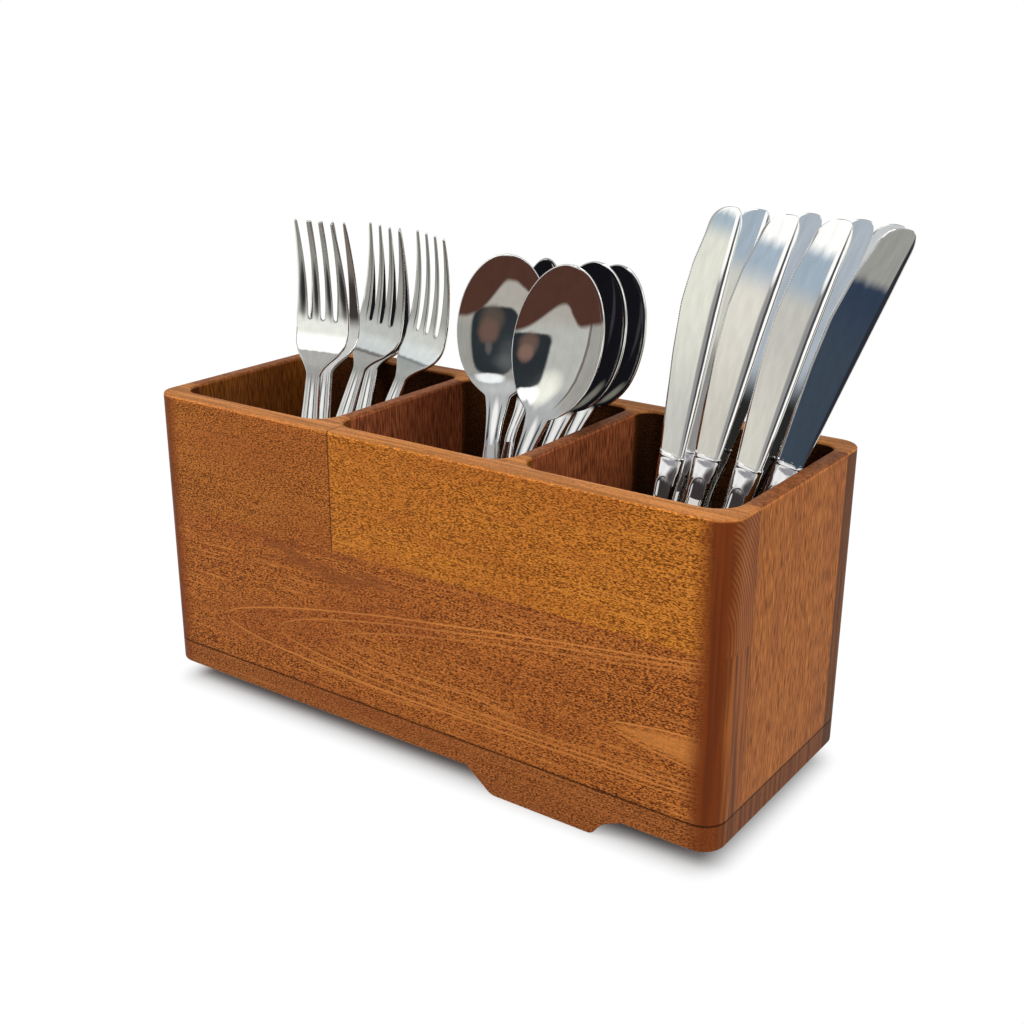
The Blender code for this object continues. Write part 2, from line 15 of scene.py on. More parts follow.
import bmesh
import bpy
import numpy as np
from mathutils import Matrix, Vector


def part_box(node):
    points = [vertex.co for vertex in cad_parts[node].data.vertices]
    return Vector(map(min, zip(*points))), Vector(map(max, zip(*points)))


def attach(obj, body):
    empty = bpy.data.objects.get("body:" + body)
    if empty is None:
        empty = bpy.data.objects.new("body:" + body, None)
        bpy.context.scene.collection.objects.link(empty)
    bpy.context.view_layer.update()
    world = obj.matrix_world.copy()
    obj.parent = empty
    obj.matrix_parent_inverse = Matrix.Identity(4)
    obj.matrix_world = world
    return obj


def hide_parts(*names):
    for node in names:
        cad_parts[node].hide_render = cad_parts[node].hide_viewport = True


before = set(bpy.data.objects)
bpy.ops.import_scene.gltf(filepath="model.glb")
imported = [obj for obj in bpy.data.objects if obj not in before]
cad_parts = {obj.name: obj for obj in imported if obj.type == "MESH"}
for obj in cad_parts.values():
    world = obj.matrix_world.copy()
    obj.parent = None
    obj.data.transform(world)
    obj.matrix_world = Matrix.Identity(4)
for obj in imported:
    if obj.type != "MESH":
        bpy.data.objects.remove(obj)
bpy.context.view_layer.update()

LOG = logging.getLogger("cutlery_box")
SHARP_ANGLE = math.radians(35)
WELD_DISTANCE = 1e-7
SMALL_STEP = 1e-5

Colour = tuple[float, float, float]
Place = tuple[float, float, float]
Pair = tuple[float, float]
Points = np.ndarray
Faces = np.ndarray


class Grain(Enum):
    """Which way a board's fibres run."""

    LENGTHWISE = "along X"
    UPRIGHT = "along Z"


class Side(Enum):
    """Which side of a line across the box is kept."""

    LEFT = 1.0
    RIGHT = -1.0


@dataclass(frozen=True)
class Box:
    """Sizes of the wooden box."""

    length: float = 0.2960
    depth: float = 0.1180
    height: float = 0.1350
    corner_radius: float = 0.0100
    top_ease: float = 0.0010
    base_ease: float = 0.0014
    base_thickness: float = 0.0115
    front_board: float = 0.0210
    front_wall: float = 0.0095
    back_board: float = 0.0175
    back_wall: float = 0.0102
    end_board: float = 0.0068
    partition_board: float = 0.0062
    fork_bay: float = 0.0887
    spoon_bay: float = 0.0893
    front_seam: float = 0.0815
    back_seam: float = 0.0700
    butt_from_left: float = 0.1073
    glue_gap: float = 0.0003
    tight_gap: float = 0.00003
    foot_height: float = 0.0098

    @property
    def left(self) -> float:
        """Left end of the box."""
        return -self.length / 2

    @property
    def right(self) -> float:
        """Right end of the box."""
        return self.length / 2

    @property
    def front(self) -> float:
        """Plane of the front."""
        return -self.depth / 2

    @property
    def back(self) -> float:
        """Plane of the back."""
        return self.depth / 2

    @property
    def front_joint(self) -> float:
        """Back face of the front board."""
        return self.front + self.front_board

    @property
    def back_joint(self) -> float:
        """Front face of the back board."""
        return self.back - self.back_board

    @property
    def pocket_front(self) -> float:
        """Inner face of the front wall in the bays."""
        return self.front + self.front_wall

    @property
    def pocket_back(self) -> float:
        """Inner face of the back wall in the bays."""
        return self.back - self.back_wall

    @property
    def butt(self) -> float:
        """Butt joint in the front's upper row."""
        return self.left + self.butt_from_left

    @property
    def bays(self) -> dict[str, tuple[float, float]]:
        """Inside limits of each bay along X."""
        fork_low = self.left + self.end_board
        fork_high = fork_low + self.fork_bay
        spoon_low = fork_high + self.partition_board
        spoon_high = spoon_low + self.spoon_bay
        knife_low = spoon_high + self.partition_board
        return {
            "fork": (fork_low, fork_high),
            "spoon": (spoon_low, spoon_high),
            "knife": (knife_low, self.right - self.end_board),
        }


BOX = Box()


# Meshes


def smooth_share(value: np.ndarray, low: float, high: float) -> np.ndarray:
    """Rise from 0 at low to 1 at high, level at both ends: 3 t squared less 2 t cubed.

    Args:
        value: Where the rise is read.
        low: Value at which it starts.
        high: Value at which it ends.

    Returns:
        The share at each value.
    """
    share = np.clip((value - low) / (high - low), 0.0, 1.0)
    return share * share * (3.0 - 2.0 * share)


def grid_quads(rows: int, columns: int, closed: bool = False) -> Faces:
    """Corner numbers of the quads of a grid of points, row by row.

    Args:
        rows: How many rows of points.
        columns: How many points in a row.
        closed: Whether the last column joins the first.

    Returns:
        One row of four corner numbers for each quad.
    """
    index = np.arange(rows * columns).reshape(rows, columns)
    if closed:
        index = np.concatenate([index, index[:, :1]], axis=1)
    low, high = index[:-1], index[1:]
    return np.stack([low[:, :-1], low[:, 1:], high[:, 1:], high[:, :-1]], axis=-1).reshape(-1, 4)


def new_piece(
    name: str,
    points: Points,
    quads: Faces,
    caps: Iterable[np.ndarray] = (),
    local: Points | None = None,
    sharp: bool = True,
) -> bpy.types.Object:
    """Mesh object from points, quads and flat end caps, with doubled points merged.

    Args:
        name: Name of the object.
        points: Places of the points.
        quads: Corner numbers of the smooth faces.
        caps: Corner numbers of each flat cap, anticlockwise from outside.
        local: Places of the points in the piece's own frame, kept as an attribute.
        sharp: Whether edges over the sharp angle are shaded as edges.

    Returns:
        The new object.
    """
    mesh = bpy.data.meshes.new(name)
    caps = [cap.tolist() for cap in caps]
    mesh.from_pydata(points.tolist(), [], quads.tolist() + caps)
    smooth = np.ones(len(mesh.polygons), bool)
    smooth[len(quads):] = False
    mesh.polygons.foreach_set("use_smooth", smooth)
    if local is not None:
        attribute = mesh.attributes.new("own_place", "FLOAT_VECTOR", "POINT")
        attribute.data.foreach_set("vector", local.astype(np.float32).ravel())
    shape = bmesh.new()
    shape.from_mesh(mesh)
    bmesh.ops.remove_doubles(shape, verts=shape.verts, dist=WELD_DISTANCE)
    bmesh.ops.dissolve_degenerate(shape, edges=shape.edges, dist=WELD_DISTANCE)
    shape.to_mesh(mesh)
    shape.free()
    if sharp:
        mesh.set_sharp_from_angle(angle=SHARP_ANGLE)
    piece = bpy.data.objects.new(name, mesh)
    bpy.context.scene.collection.objects.link(piece)
    return piece


def dress(piece: bpy.types.Object, node: str, body: str, material: bpy.types.Material) -> None:
    """Give a piece its finish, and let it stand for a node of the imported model.

    Args:
        piece: The new piece.
        node: Node that it replaces.
        body: Body that it moves with.
        material: Its finish.
    """
    piece.data.materials.clear()
    piece.data.materials.append(material)
    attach(piece, body)
    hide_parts(node)
    low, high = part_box(node)
    corners = np.array([corner[:] for corner in piece.bound_box])
    off = max(np.abs(corners.min(0) - low).max(), np.abs(corners.max(0) - high).max()) * 1000
    LOG.info("%s: %d faces, corners within %.2f mm of %s", piece.name, len(piece.data.polygons), off, node)


@dataclass(frozen=True)
class Outline:
    """Closed outline seen from above, anticlockwise.

    give is how far each point moves where its edge is fully eased.
    """

    points: np.ndarray
    give: np.ndarray

    @staticmethod
    def joined(*parts: "Outline") -> "Outline":
        """One outline from parts that follow each other."""
        return Outline(
            np.concatenate([part.points for part in parts]),
            np.concatenate([part.give for part in parts]),
        )

    @staticmethod
    def arc(
        centre: Pair, radius: float, start: float, end: float, ease: float, hollow: bool = False
    ) -> "Outline":
        """Part of a circle, with two close points beyond each end to keep the shading flat there.

        The points are centre plus radius times (cosine, sine), and each gives way towards the centre, or
        away from it where the arc is hollow.

        Args:
            centre: Middle of the circle.
            radius: Its radius.
            start: First angle in degrees.
            end: Last angle in degrees.
            ease: How far a fully eased edge gives way.
            hollow: Whether the wood lies outside the circle.

        Returns:
            The part of the outline.
        """
        angles = np.radians(np.linspace(start, end, ARC_STEPS + 1))
        radial = np.stack([np.cos(angles), np.sin(angles)], axis=1)
        points = np.array(centre) + radius * radial
        turn = math.copysign(1.0, end - start)
        before = points[0] - turn * ARC_SUPPORT * np.array([-radial[0, 1], radial[0, 0]])
        after = points[-1] + turn * ARC_SUPPORT * np.array([-radial[-1, 1], radial[-1, 0]])
        lead = [] if hollow and radial[0, 1] == 0.0 else [before]
        tail = [] if hollow and abs(radial[-1, 1]) < SMALL_STEP else [after]
        radial = np.concatenate([radial[:1]] * len(lead) + [radial] + [radial[-1:]] * len(tail))
        points = np.concatenate([np.reshape(lead, (-1, 2)), points, np.reshape(tail, (-1, 2))])
        return Outline(points, radial * (ease if hollow else -ease))

    @staticmethod
    def corners(points: Iterable[Pair], give: Iterable[Pair]) -> "Outline":
        """Plain corners and how far each gives way."""
        return Outline(np.array(list(points), float), np.array(list(give), float))

    def mirrored(self) -> "Outline":
        """The same outline, front and back exchanged."""
        flip = np.array([1.0, -1.0])
        return Outline((self.points * flip)[::-1], (self.give * flip)[::-1])

    def clipped(self, limit: float, side: Side) -> "Outline":
        """Part of the outline on one side of the line x = limit.

        A new point stands where the outline crosses the line, at the share (limit - x) / (next x - x).

        Args:
            limit: Place of the line.
            side: Side that is kept.

        Returns:
            The outline that is left.
        """
        inside = side.value * (self.points[:, 0] - limit) <= 0
        crossing = np.flatnonzero(inside != np.roll(inside, -1))
        following = (crossing + 1) % len(inside)
        start, end = self.points[crossing], self.points[following]
        share = ((limit - start[:, 0]) / (end[:, 0] - start[:, 0]))[:, None]
        points = np.concatenate([self.points[inside], start + share * (end - start)])
        give = self.give[crossing] * (1 - share) + self.give[following] * share
        give = np.concatenate([self.give[inside], give * np.array([0.0, 1.0])])
        order = np.argsort(np.concatenate([np.flatnonzero(inside), crossing + 0.5]), kind="stable")
        return Outline(points[order], give[order])


ARC_STEPS = 14
ARC_SUPPORT = 0.0003
EASE_STEPS = 5


def eased_levels(low: float, high: float, top_ease: float = 0.0, base_ease: float = 0.0) -> np.ndarray:
    """Heights of the rings of a raised outline, and the share of its give at each.

    An eased edge is a quarter round: height rises as the sine, and the outline gives way as one less the
    cosine.

    Args:
        low: Height of the underside.
        high: Height of the top.
        top_ease: Size of the quarter round at the top.
        base_ease: Size of the quarter round underneath.

    Returns:
        One row of height and share for each ring, upwards.
    """
    angles = np.linspace(0.0, math.pi / 2, EASE_STEPS + 1)
    quarter = np.stack([np.sin(angles), 1 - np.cos(angles)], axis=1)
    rows = [np.array([[low, 0.0]]) if not base_ease else np.empty((0, 2))]
    if base_ease:
        under = quarter[::-1] * np.array([-base_ease, 1.0]) + np.array([low + base_ease, 0.0])
        rows += [under, np.array([[low + base_ease + ARC_SUPPORT, 0.0]])]
    if top_ease:
        over = quarter * np.array([top_ease, 1.0]) + np.array([high - top_ease, 0.0])
        rows += [np.array([[high - top_ease - ARC_SUPPORT, 0.0]]), over]
    else:
        rows.append(np.array([[high, 0.0]]))
    return np.concatenate(rows)


def close_rings(name: str, rings: Points) -> bpy.types.Object:
    """Closed piece from a stack of rings, with a flat cap at each end."""
    levels, count = rings.shape[:2]
    index = np.arange(count)
    caps = [index[::-1], index + (levels - 1) * count]
    return new_piece(name, rings.reshape(-1, 3), grid_quads(levels, count, closed=True), caps)


def raise_outline(name: str, outline: Outline, levels: np.ndarray) -> bpy.types.Object:
    """Board from an outline carried upwards: each ring is the outline plus its share of the give.

    Args:
        name: Name of the piece.
        outline: Outline seen from above.
        levels: Height and share of the give of each ring.

    Returns:
        The closed board.
    """
    rings = outline.points[None] + levels[:, 1, None, None] * outline.give[None]
    heights = np.broadcast_to(levels[:, 0, None, None], (*rings.shape[:2], 1))
    return close_rings(name, np.concatenate([rings, heights], axis=2))


# Materials


class Link:
    """Output of a shader node. Arithmetic on it adds Math nodes."""

    def __init__(self, shading: "Shading", socket: bpy.types.NodeSocket) -> None:
        """Keep the socket and the tree that it belongs to."""
        self.shading = shading
        self.socket = socket

    def math(self, operation: str, *others: "Link | float") -> "Link":
        """Add a Math node that reads this value and then the others."""
        return self.shading.add("ShaderNodeMath", {"operation": operation}, dict(enumerate((self, *others))))

    def __add__(self, other: "Link | float") -> "Link":
        """Sum."""
        return self.math("ADD", other)

    __radd__ = __add__

    def __mul__(self, other: "Link | float") -> "Link":
        """Product."""
        return self.math("MULTIPLY", other)

    __rmul__ = __mul__

    def __sub__(self, other: "Link | float") -> "Link":
        """Difference."""
        return self.math("SUBTRACT", other)

    def __rsub__(self, other: float) -> "Link":
        """Difference, the other way round."""
        return self.shading.add("ShaderNodeMath", {"operation": "SUBTRACT"}, {0: other, 1: self})

    def __truediv__(self, other: "Link | float") -> "Link":
        """Quotient."""
        return self.math("DIVIDE", other)

    def __pow__(self, other: "Link | float") -> "Link":
        """Power."""
        return self.math("POWER", other)

    def __abs__(self) -> "Link":
        """Size without its sign."""
        return self.math("ABSOLUTE")

    def rise(self, low: float, high: float) -> "Link":
        """Smooth rise from 0 at low to 1 at high."""
        inputs = {"Value": self, "From Min": low, "From Max": high}
        return self.shading.add("ShaderNodeMapRange", {"interpolation_type": "SMOOTHSTEP"}, inputs)

    def swing(self, reach: float) -> "Link":
        """Noise less its middle value of a half, times a reach."""
        return (self - 0.5) * reach


class Shading:
    """The node tree of a material or world, and the nodes that are added to it."""

    def __init__(self, name: str, world: bool = False) -> None:
        """Start a material or world whose tree holds nothing but its output."""
        self.owner = bpy.data.worlds.new(name) if world else bpy.data.materials.new(name)
        self.owner.use_nodes = True
        self.tree = self.owner.node_tree
        self.tree.nodes.clear()
        self.out = self.tree.nodes.new("ShaderNodeOutputWorld" if world else "ShaderNodeOutputMaterial")

    def add(
        self, kind: str, settings: dict | None = None, inputs: dict | None = None, output: int | str = 0
    ) -> Link:
        """Add a node.

        Args:
            kind: Type of the node.
            settings: Its settings, set first.
            inputs: Values, colours or links of its inputs, by name or number.
            output: Output that is given back.

        Returns:
            The output's link.
        """
        node = self.tree.nodes.new(kind)
        for key, value in (settings or {}).items():
            setattr(node, key, value)
        for key, value in (inputs or {}).items():
            socket = node.inputs[key]
            if isinstance(value, Link):
                self.tree.links.new(value.socket, socket)
            else:
                socket.default_value = (*value, 1.0) if socket.type == "RGBA" else value
        return Link(self, node.outputs[output])

    def noise(
        self, vector: Link, scale: Place = (), detail: float = 2.0, roughness: float = 0.5,
        shift: Place = (0.0, 0.0, 0.0),
    ) -> Link:
        """Noise of scale 1 over a vector, which is scaled and shifted first where a scale is given."""
        vector = self.scaled(vector, scale, shift) if scale else vector
        inputs = {"Vector": vector, "Scale": 1.0, "Detail": detail, "Roughness": roughness}
        return self.add("ShaderNodeTexNoise", inputs=inputs, output="Fac")

    def scaled(self, vector: Link, scale: Place, shift: Place = (0.0, 0.0, 0.0)) -> Link:
        """Vector times a scale, plus a shift."""
        inputs = {0: vector, 1: scale, 2: shift}
        return self.add("ShaderNodeVectorMath", {"operation": "MULTIPLY_ADD"}, inputs)

    def combined(self, *parts: Link) -> Link:
        """Vector of two or three parts."""
        return self.add("ShaderNodeCombineXYZ", inputs=dict(enumerate(parts)))

    def split(self, vector: Link) -> list[Link]:
        """The three parts of a vector."""
        node = self.add("ShaderNodeSeparateXYZ", inputs={0: vector}).socket.node
        return [Link(self, output) for output in node.outputs]

    def mix(self, share: "Link | float", first: "Link | Colour", second: "Link | Colour") -> Link:
        """Mix of two colours by a share."""
        return self.add("ShaderNodeMix", {"data_type": "RGBA"}, {0: share, 6: first, 7: second}, 2)

    def scale(self, colour: Link, value: Link) -> Link:
        """Colour times a number."""
        return self.add("ShaderNodeVectorMath", {"operation": "SCALE"}, {0: colour, "Scale": value})

    def glow(self, colour: "Link | Colour", strength: float = 1.0) -> Link:
        """Plain glow of a colour."""
        return self.add("ShaderNodeEmission", inputs={"Color": colour, "Strength": strength})

    def surface(self, shader: Link) -> bpy.types.Material | bpy.types.World:
        """Put a shader on the surface and give the finished material or world."""
        self.tree.links.new(shader.socket, self.out.inputs["Surface"])
        return self.owner


@dataclass(frozen=True)
class Figure:
    """Nested arcs where the growth rings run out on the face of a board.

    Each arc is a parabola across = root of (opening times the distance past its tip), on both sides of an
    axis that starts at the tip and climbs by slope. The next arc starts spacing further along.
    """

    tip: tuple[float, float]
    opening: float
    slope: float = 0.0
    spacing: float = 0.034
    arcs: int = 3
    strength: float = 0.8
    warmth: float = 0.0


@dataclass(frozen=True)
class Board:
    """What the parts of a wooden finish read: places in the box, and the noises drawn over one board.

    own is the place in the board's own directions, mottle the noise that its flecks come from, and at_top
    is 1 on the upper edge.
    """

    shading: Shading
    x: Link
    y: Link
    z: Link
    own: Link
    bend: Link
    broad: Link
    streak: Link
    fibre: Link
    mottle: Link
    at_top: Link


def tinted(colour: Colour, *shares: float) -> Colour:
    """Colour times one share, or each part times its own."""
    return tuple(value * share for value, share in zip(colour, shares * (3 // len(shares))))


@dataclass(frozen=True)
class WoodFinish:
    """Stained and oiled wood. The light colour lies between the short dark flecks of the deep colour.

    Strengths are shares from 0 to 1. top is the colour of the upper edge, and inner is the share of its
    brightness that the inside of the bays keeps near the top under their painted shade. Scales say how
    finely a noise is drawn along the grain, across it and into the board, and edges where a rise starts
    and ends.
    """

    name: str
    grain: Grain
    deep: Colour
    light: Colour
    pale: Colour
    top: Colour
    figures: tuple[Figure, ...] = ()
    fleck_size: Pair = (0.00115, 0.00038)
    fleck_edges: Pair = (0.42, 0.59)
    streak_strength: float = 0.5
    broad_strength: float = 0.5
    fibre_strength: float = 0.22
    line_strength: float = 0.55
    glint_strength: float = 0.75
    cloud_strength: float = 0.62
    blotch_strength: float = 0.0
    end_strength: float = 0.0
    roughness: float = 0.46
    inner: float = 0.75
    butt_line: float = 0.0
    shift: Place = (0.0, 0.0, 0.0)
    bend_scale: Place = (9.0, 22.0, 22.0)
    bend_reach: float = 0.006
    broad_scale: Place = (10.0, 46.0, 46.0)
    streak_scale: Place = (14.0, 420.0, 420.0)
    fibre_scale: Place = (150.0, 3400.0, 3400.0)
    line_scale: Place = (4.0, 300.0, 300.0)
    line_levels: Pair = (0.56, 0.44)
    line_edges: Pair = (0.003, 0.014)
    glint_edges: Pair = (0.28, 0.43)
    cloud_edges: Pair = (0.34, 0.56)
    top_edges: Pair = (0.34, 0.62)
    bright_share: float = 1.20
    dark_share: float = 0.52
    red_shares: Colour = (0.72, 0.58, 0.70)
    top_dark_share: float = 0.62
    blotch: Colour = (0.185, 0.050, 0.013)
    blotch_middle: Pair = (-0.0450, 0.0740)
    blotch_reach: Pair = (0.0560, 0.0130)
    ring_away: float = 0.0200
    ring_middle: float = 0.0850
    ring_spacing: float = 0.0015
    band_colours: tuple[Colour, Colour] = ((0.160, 0.032, 0.004), (0.085, 0.016, 0.003))
    ring_colours: tuple[Colour, Colour] = ((0.135, 0.032, 0.005), (0.380, 0.118, 0.026))
    low_ring_colours: tuple[Colour, Colour] = ((0.095, 0.024, 0.005), (0.315, 0.090, 0.016))
    ring_fibre: Colour = (0.140, 0.035, 0.007)

    def material(self) -> bpy.types.Material:
        """Build the material.

        A board's own directions are along, across and behind its face. Flecks, fibres and streaks are
        noise drawn out along the grain, and a slow noise bends them.

        Returns:
            The finished material.
        """
        shading = Shading(self.name)
        x, y, z = shading.split(shading.add("ShaderNodeTexCoord", output="Object"))
        along, across, behind = (x, z, y) if self.grain is Grain.LENGTHWISE else (z, y, x)
        straight = shading.scaled(shading.combined(along, across, behind), (1.0, 1.0, 1.0), self.shift)
        bend = shading.noise(straight, self.bend_scale)
        bent = shading.combined(along, across + bend.swing(self.bend_reach), behind)
        own = shading.scaled(bent, (1.0, 1.0, 1.0), self.shift)
        broad = shading.noise(own, self.broad_scale, 3.0)
        streak = shading.noise(own, self.streak_scale, 4.0, 0.6)
        fibre = shading.noise(own, self.fibre_scale)
        long, wide = self.fleck_size
        mottle = shading.noise(own, (1 / long, 1 / wide, 1 / wide), 2.0, 0.55) + streak.swing(0.20)
        at_top = z.rise(BOX.height - 0.0013, BOX.height - 0.0004)
        board = Board(shading, x, y, z, own, bend, broad, streak, fibre, mottle, at_top)
        flecks = (mottle + broad.swing(0.16) + fibre.swing(0.12)).rise(*self.fleck_edges)
        colour = self.long_grain(board, flecks)
        if self.end_strength:
            colour = self.end_grain(board, colour)
        colour = self.shaded(board, self.top_edge(board, colour))
        bump = {"Strength": 0.20, "Distance": 0.00005, "Height": flecks * -0.6 + fibre * 0.5}
        shader = shading.add("ShaderNodeBsdfPrincipled", inputs={
            "Base Color": colour,
            "Roughness": flecks * 0.08 + streak.swing(0.10) + self.roughness,
            "Normal": shading.add("ShaderNodeBump", inputs=bump, output="Normal"),
            "Specular IOR Level": 0.07,
        })
        return shading.surface(shader)

    def long_grain(self, board: Board, flecks: Link) -> Link:
        """Colour of the face: clouds of two tones, pale glints, dark flecks, fine lines and figures.

        Args:
            board: Places and noises of the board.
            flecks: Where the flecks are.

        Returns:
            The colour.
        """
        shading, broad = board.shading, board.broad
        bright = tinted(self.light, self.bright_share)
        clouds = 1 - (broad + board.streak.swing(0.35)).rise(*self.cloud_edges)
        ground = shading.mix(clouds * self.cloud_strength, bright, tinted(bright, *self.red_shares))
        glints = (1 - (board.mottle + broad.swing(0.10)).rise(*self.glint_edges)) * self.glint_strength
        colour = shading.mix(glints, ground, self.pale)
        colour = shading.mix(flecks, colour, tinted(self.deep, self.dark_share))
        lines = shading.noise(board.own, self.line_scale, 1.0, shift=(5.0, 2.0, 1.0))
        first, second = (abs(lines - level) for level in self.line_levels)
        lines = (1 - first.math("MINIMUM", second).rise(*self.line_edges)) * broad.rise(*self.cloud_edges)
        colour = shading.mix(lines * self.line_strength, colour, self.pale)
        for figure in self.figures:
            colour = self.arcs(board, figure, colour)
        if self.blotch_strength:
            colour = self.blotches(board, colour)
        tone = broad.swing(self.broad_strength) + board.streak.swing(self.streak_strength)
        return shading.scale(colour, tone + board.fibre.swing(self.fibre_strength) + 1.0)

    def arcs(self, board: Board, figure: Figure, colour: Link) -> Link:
        """Colour with the pale lines of a figure, and a warmer field inside it.

        Args:
            board: Places and noises of the board.
            figure: Its arcs.
            colour: Colour without them.

        Returns:
            The colour with them.
        """
        x = board.x
        z = board.z + board.bend.swing(0.004)
        away = abs(z - (x - figure.tip[0]) * figure.slope - figure.tip[1])
        for number in range(figure.arcs):
            past = x - figure.tip[0] - figure.spacing * number
            off = away - (past.math("MAXIMUM", 0.0) * figure.opening) ** 0.5
            there = past.rise(-0.0004, 0.0020)
            if number == 0 and figure.warmth:
                field_share = (1 - off.rise(-0.0030, 0.0)) * there * figure.warmth
                colour = board.shading.mix(field_share, colour, self.pale)
            line = (1 - abs(off).rise(0.00012, 0.00060)) * there
            colour = board.shading.mix(line * (figure.strength * 0.75 ** number), colour, self.pale)
        return colour

    def blotches(self, board: Board, colour: Link) -> Link:
        """Colour with dark reddish blotches beside the seam, left of the middle of the front.

        Args:
            board: Places and noises of the board.
            colour: Colour without them.

        Returns:
            The colour with them.
        """
        length, height = self.blotch_reach
        band = 1 - abs(board.z - self.blotch_middle[1]).rise(height * 0.25, height)
        reach = 1 - abs(board.x - self.blotch_middle[0]).rise(length * 0.4, length)
        spots = board.shading.noise(board.own, (38.0, 150.0, 150.0), 3.0, 0.6, (7.0, 2.0, 0.0))
        share = spots.rise(0.42, 0.62) * band * reach * self.blotch_strength
        return board.shading.mix(share, colour, self.blotch)

    def end_grain(self, board: Board, colour: Link) -> Link:
        """Deep soft band round the rounded corners, partly darker end grain and partly painted shade, and
        ringed end grain past it.

        The rings are circles about a point far below the board's inner edge. turn rises from 0 to 1 round
        a corner. Painted shade darkens the rings on the back boards, and they are darker on the base board.

        Args:
            board: Places and noises of the board.
            colour: Colour of the long grain.

        Returns:
            The colour with its ends.
        """
        shading, x, y, z = board.shading, board.x, board.y, board.z
        slow = shading.noise(shading.combined(y * 60.0, z * 26.0))
        turn = (abs(x) - (BOX.right - BOX.corner_radius)) / BOX.corner_radius + slow.swing(0.30)
        across = abs(y) * -1.0 + (BOX.back + self.ring_away)
        climb = (z - self.ring_middle).math("MAXIMUM", 0.0) * 0.8
        radius = (across * across + climb * climb) ** 0.5 + slow.swing(0.0030)
        ring = (radius / self.ring_spacing).math("FRACT")
        fine = ring.rise(0.10, 0.55) * (1 - ring.rise(0.80, 1.0)) * slow.rise(0.20, 0.60)
        streaks = shading.noise(shading.combined(x * 420.0, y * 420.0, z * 14.0), (), 3.0, 0.6)
        streaks = streaks.rise(0.35, 0.65)
        low = 1 - z.rise(BOX.front_seam - 0.0008, BOX.front_seam + 0.0008)
        lower = shading.mix(streaks, *self.low_ring_colours)
        ringed = shading.mix(low, shading.mix(fine * 0.80, *self.ring_colours), lower)
        ringed = shading.mix(board.fibre.rise(0.3, 0.8) * 0.25, ringed, self.ring_fibre)
        # Painted shade on the end grain of the back boards; the base board's end grain is darker.
        far = y.rise(BOX.back_joint - 0.0006, BOX.back_joint + 0.0006)
        under = 1 - z.rise(BOX.base_thickness - 0.0005, BOX.base_thickness + 0.0005)
        ringed = shading.scale(ringed, 1 - far * 0.50 - under * 0.28)
        # Deep band round each rounded corner: partly darker end grain, partly painted shade.
        deep = shading.mix(streaks * 0.6, *self.band_colours)
        colour = shading.mix(turn.rise(-0.60, 0.45) * self.end_strength, colour, deep)
        return shading.mix(turn.rise(0.76, 1.00) * self.end_strength, colour, ringed)

    def top_edge(self, board: Board, colour: Link) -> Link:
        """Colour with the streaky upper edge, and a thin painted highlight where it meets the face.

        Args:
            board: Places and noises of the board.
            colour: Colour of the face.

        Returns:
            The colour with its upper edge and painted highlight.
        """
        shading, z = board.shading, board.z
        streaky = (board.streak + board.mottle.swing(0.6)).rise(*self.top_edges)
        top = shading.mix(streaky, tinted(self.top, self.bright_share), tinted(self.top, self.top_dark_share))
        colour = shading.mix(board.at_top * 0.85, colour, top)
        # Painted highlight: a bright line on the eased edge just below the top.
        line = z.rise(BOX.height - 0.0016, BOX.height - 0.0012)
        line = line - z.rise(BOX.height - 0.0008, BOX.height - 0.0004)
        return shading.scale(colour, line * 0.55 + 1.0)

    def shaded(self, board: Board, colour: Link) -> Link:
        """Colour with painted shade in the bays, deeper low down and at the back, and with dark glue lines.

        Args:
            board: Places and noises of the board.
            colour: Colour in full light.

        Returns:
            The colour with its painted shade and dark glue lines.
        """
        shading, x, y, z = board.shading, board.x, board.y, board.z
        knife_bay = BOX.bays["knife"][0]
        open_air = 1 - board.at_top
        # Painted shade inside the bays below their top edge, deeper low down and in the knife bay.
        inside = 1 - abs(x).rise(BOX.right - 0.0052, BOX.right - 0.0042)
        inside = inside * (1 - abs(y).rise(BOX.back - 0.0088, BOX.back - 0.0078)) * open_air
        inside = inside * (x.rise(knife_bay - 0.004, knife_bay) * 0.45 + 1.0)
        lower = 1 - z.rise(BOX.height - 0.090, BOX.height - 0.010)
        colour = shading.scale(colour, 1 - inside * (lower * 0.50 + 1 - self.inner))
        # Painted shade at the back of the bays, behind the cutlery.
        painted_back_shade = y.rise(BOX.pocket_back - 0.010, BOX.pocket_back - 0.004) * x.rise(-0.146, -0.132)
        colour = shading.scale(colour, 1 - inside.math("MINIMUM", 1.0) * (painted_back_shade * open_air) * 0.80)
        glued = 1 - abs(z - BOX.base_thickness - BOX.glue_gap / 2).rise(0.00025, 0.00080)
        if self.butt_line:
            glued = glued + (1 - abs(x - BOX.butt).rise(0.00015, 0.00060)) * self.butt_line
        return shading.scale(colour, 1 - glued * 0.55)


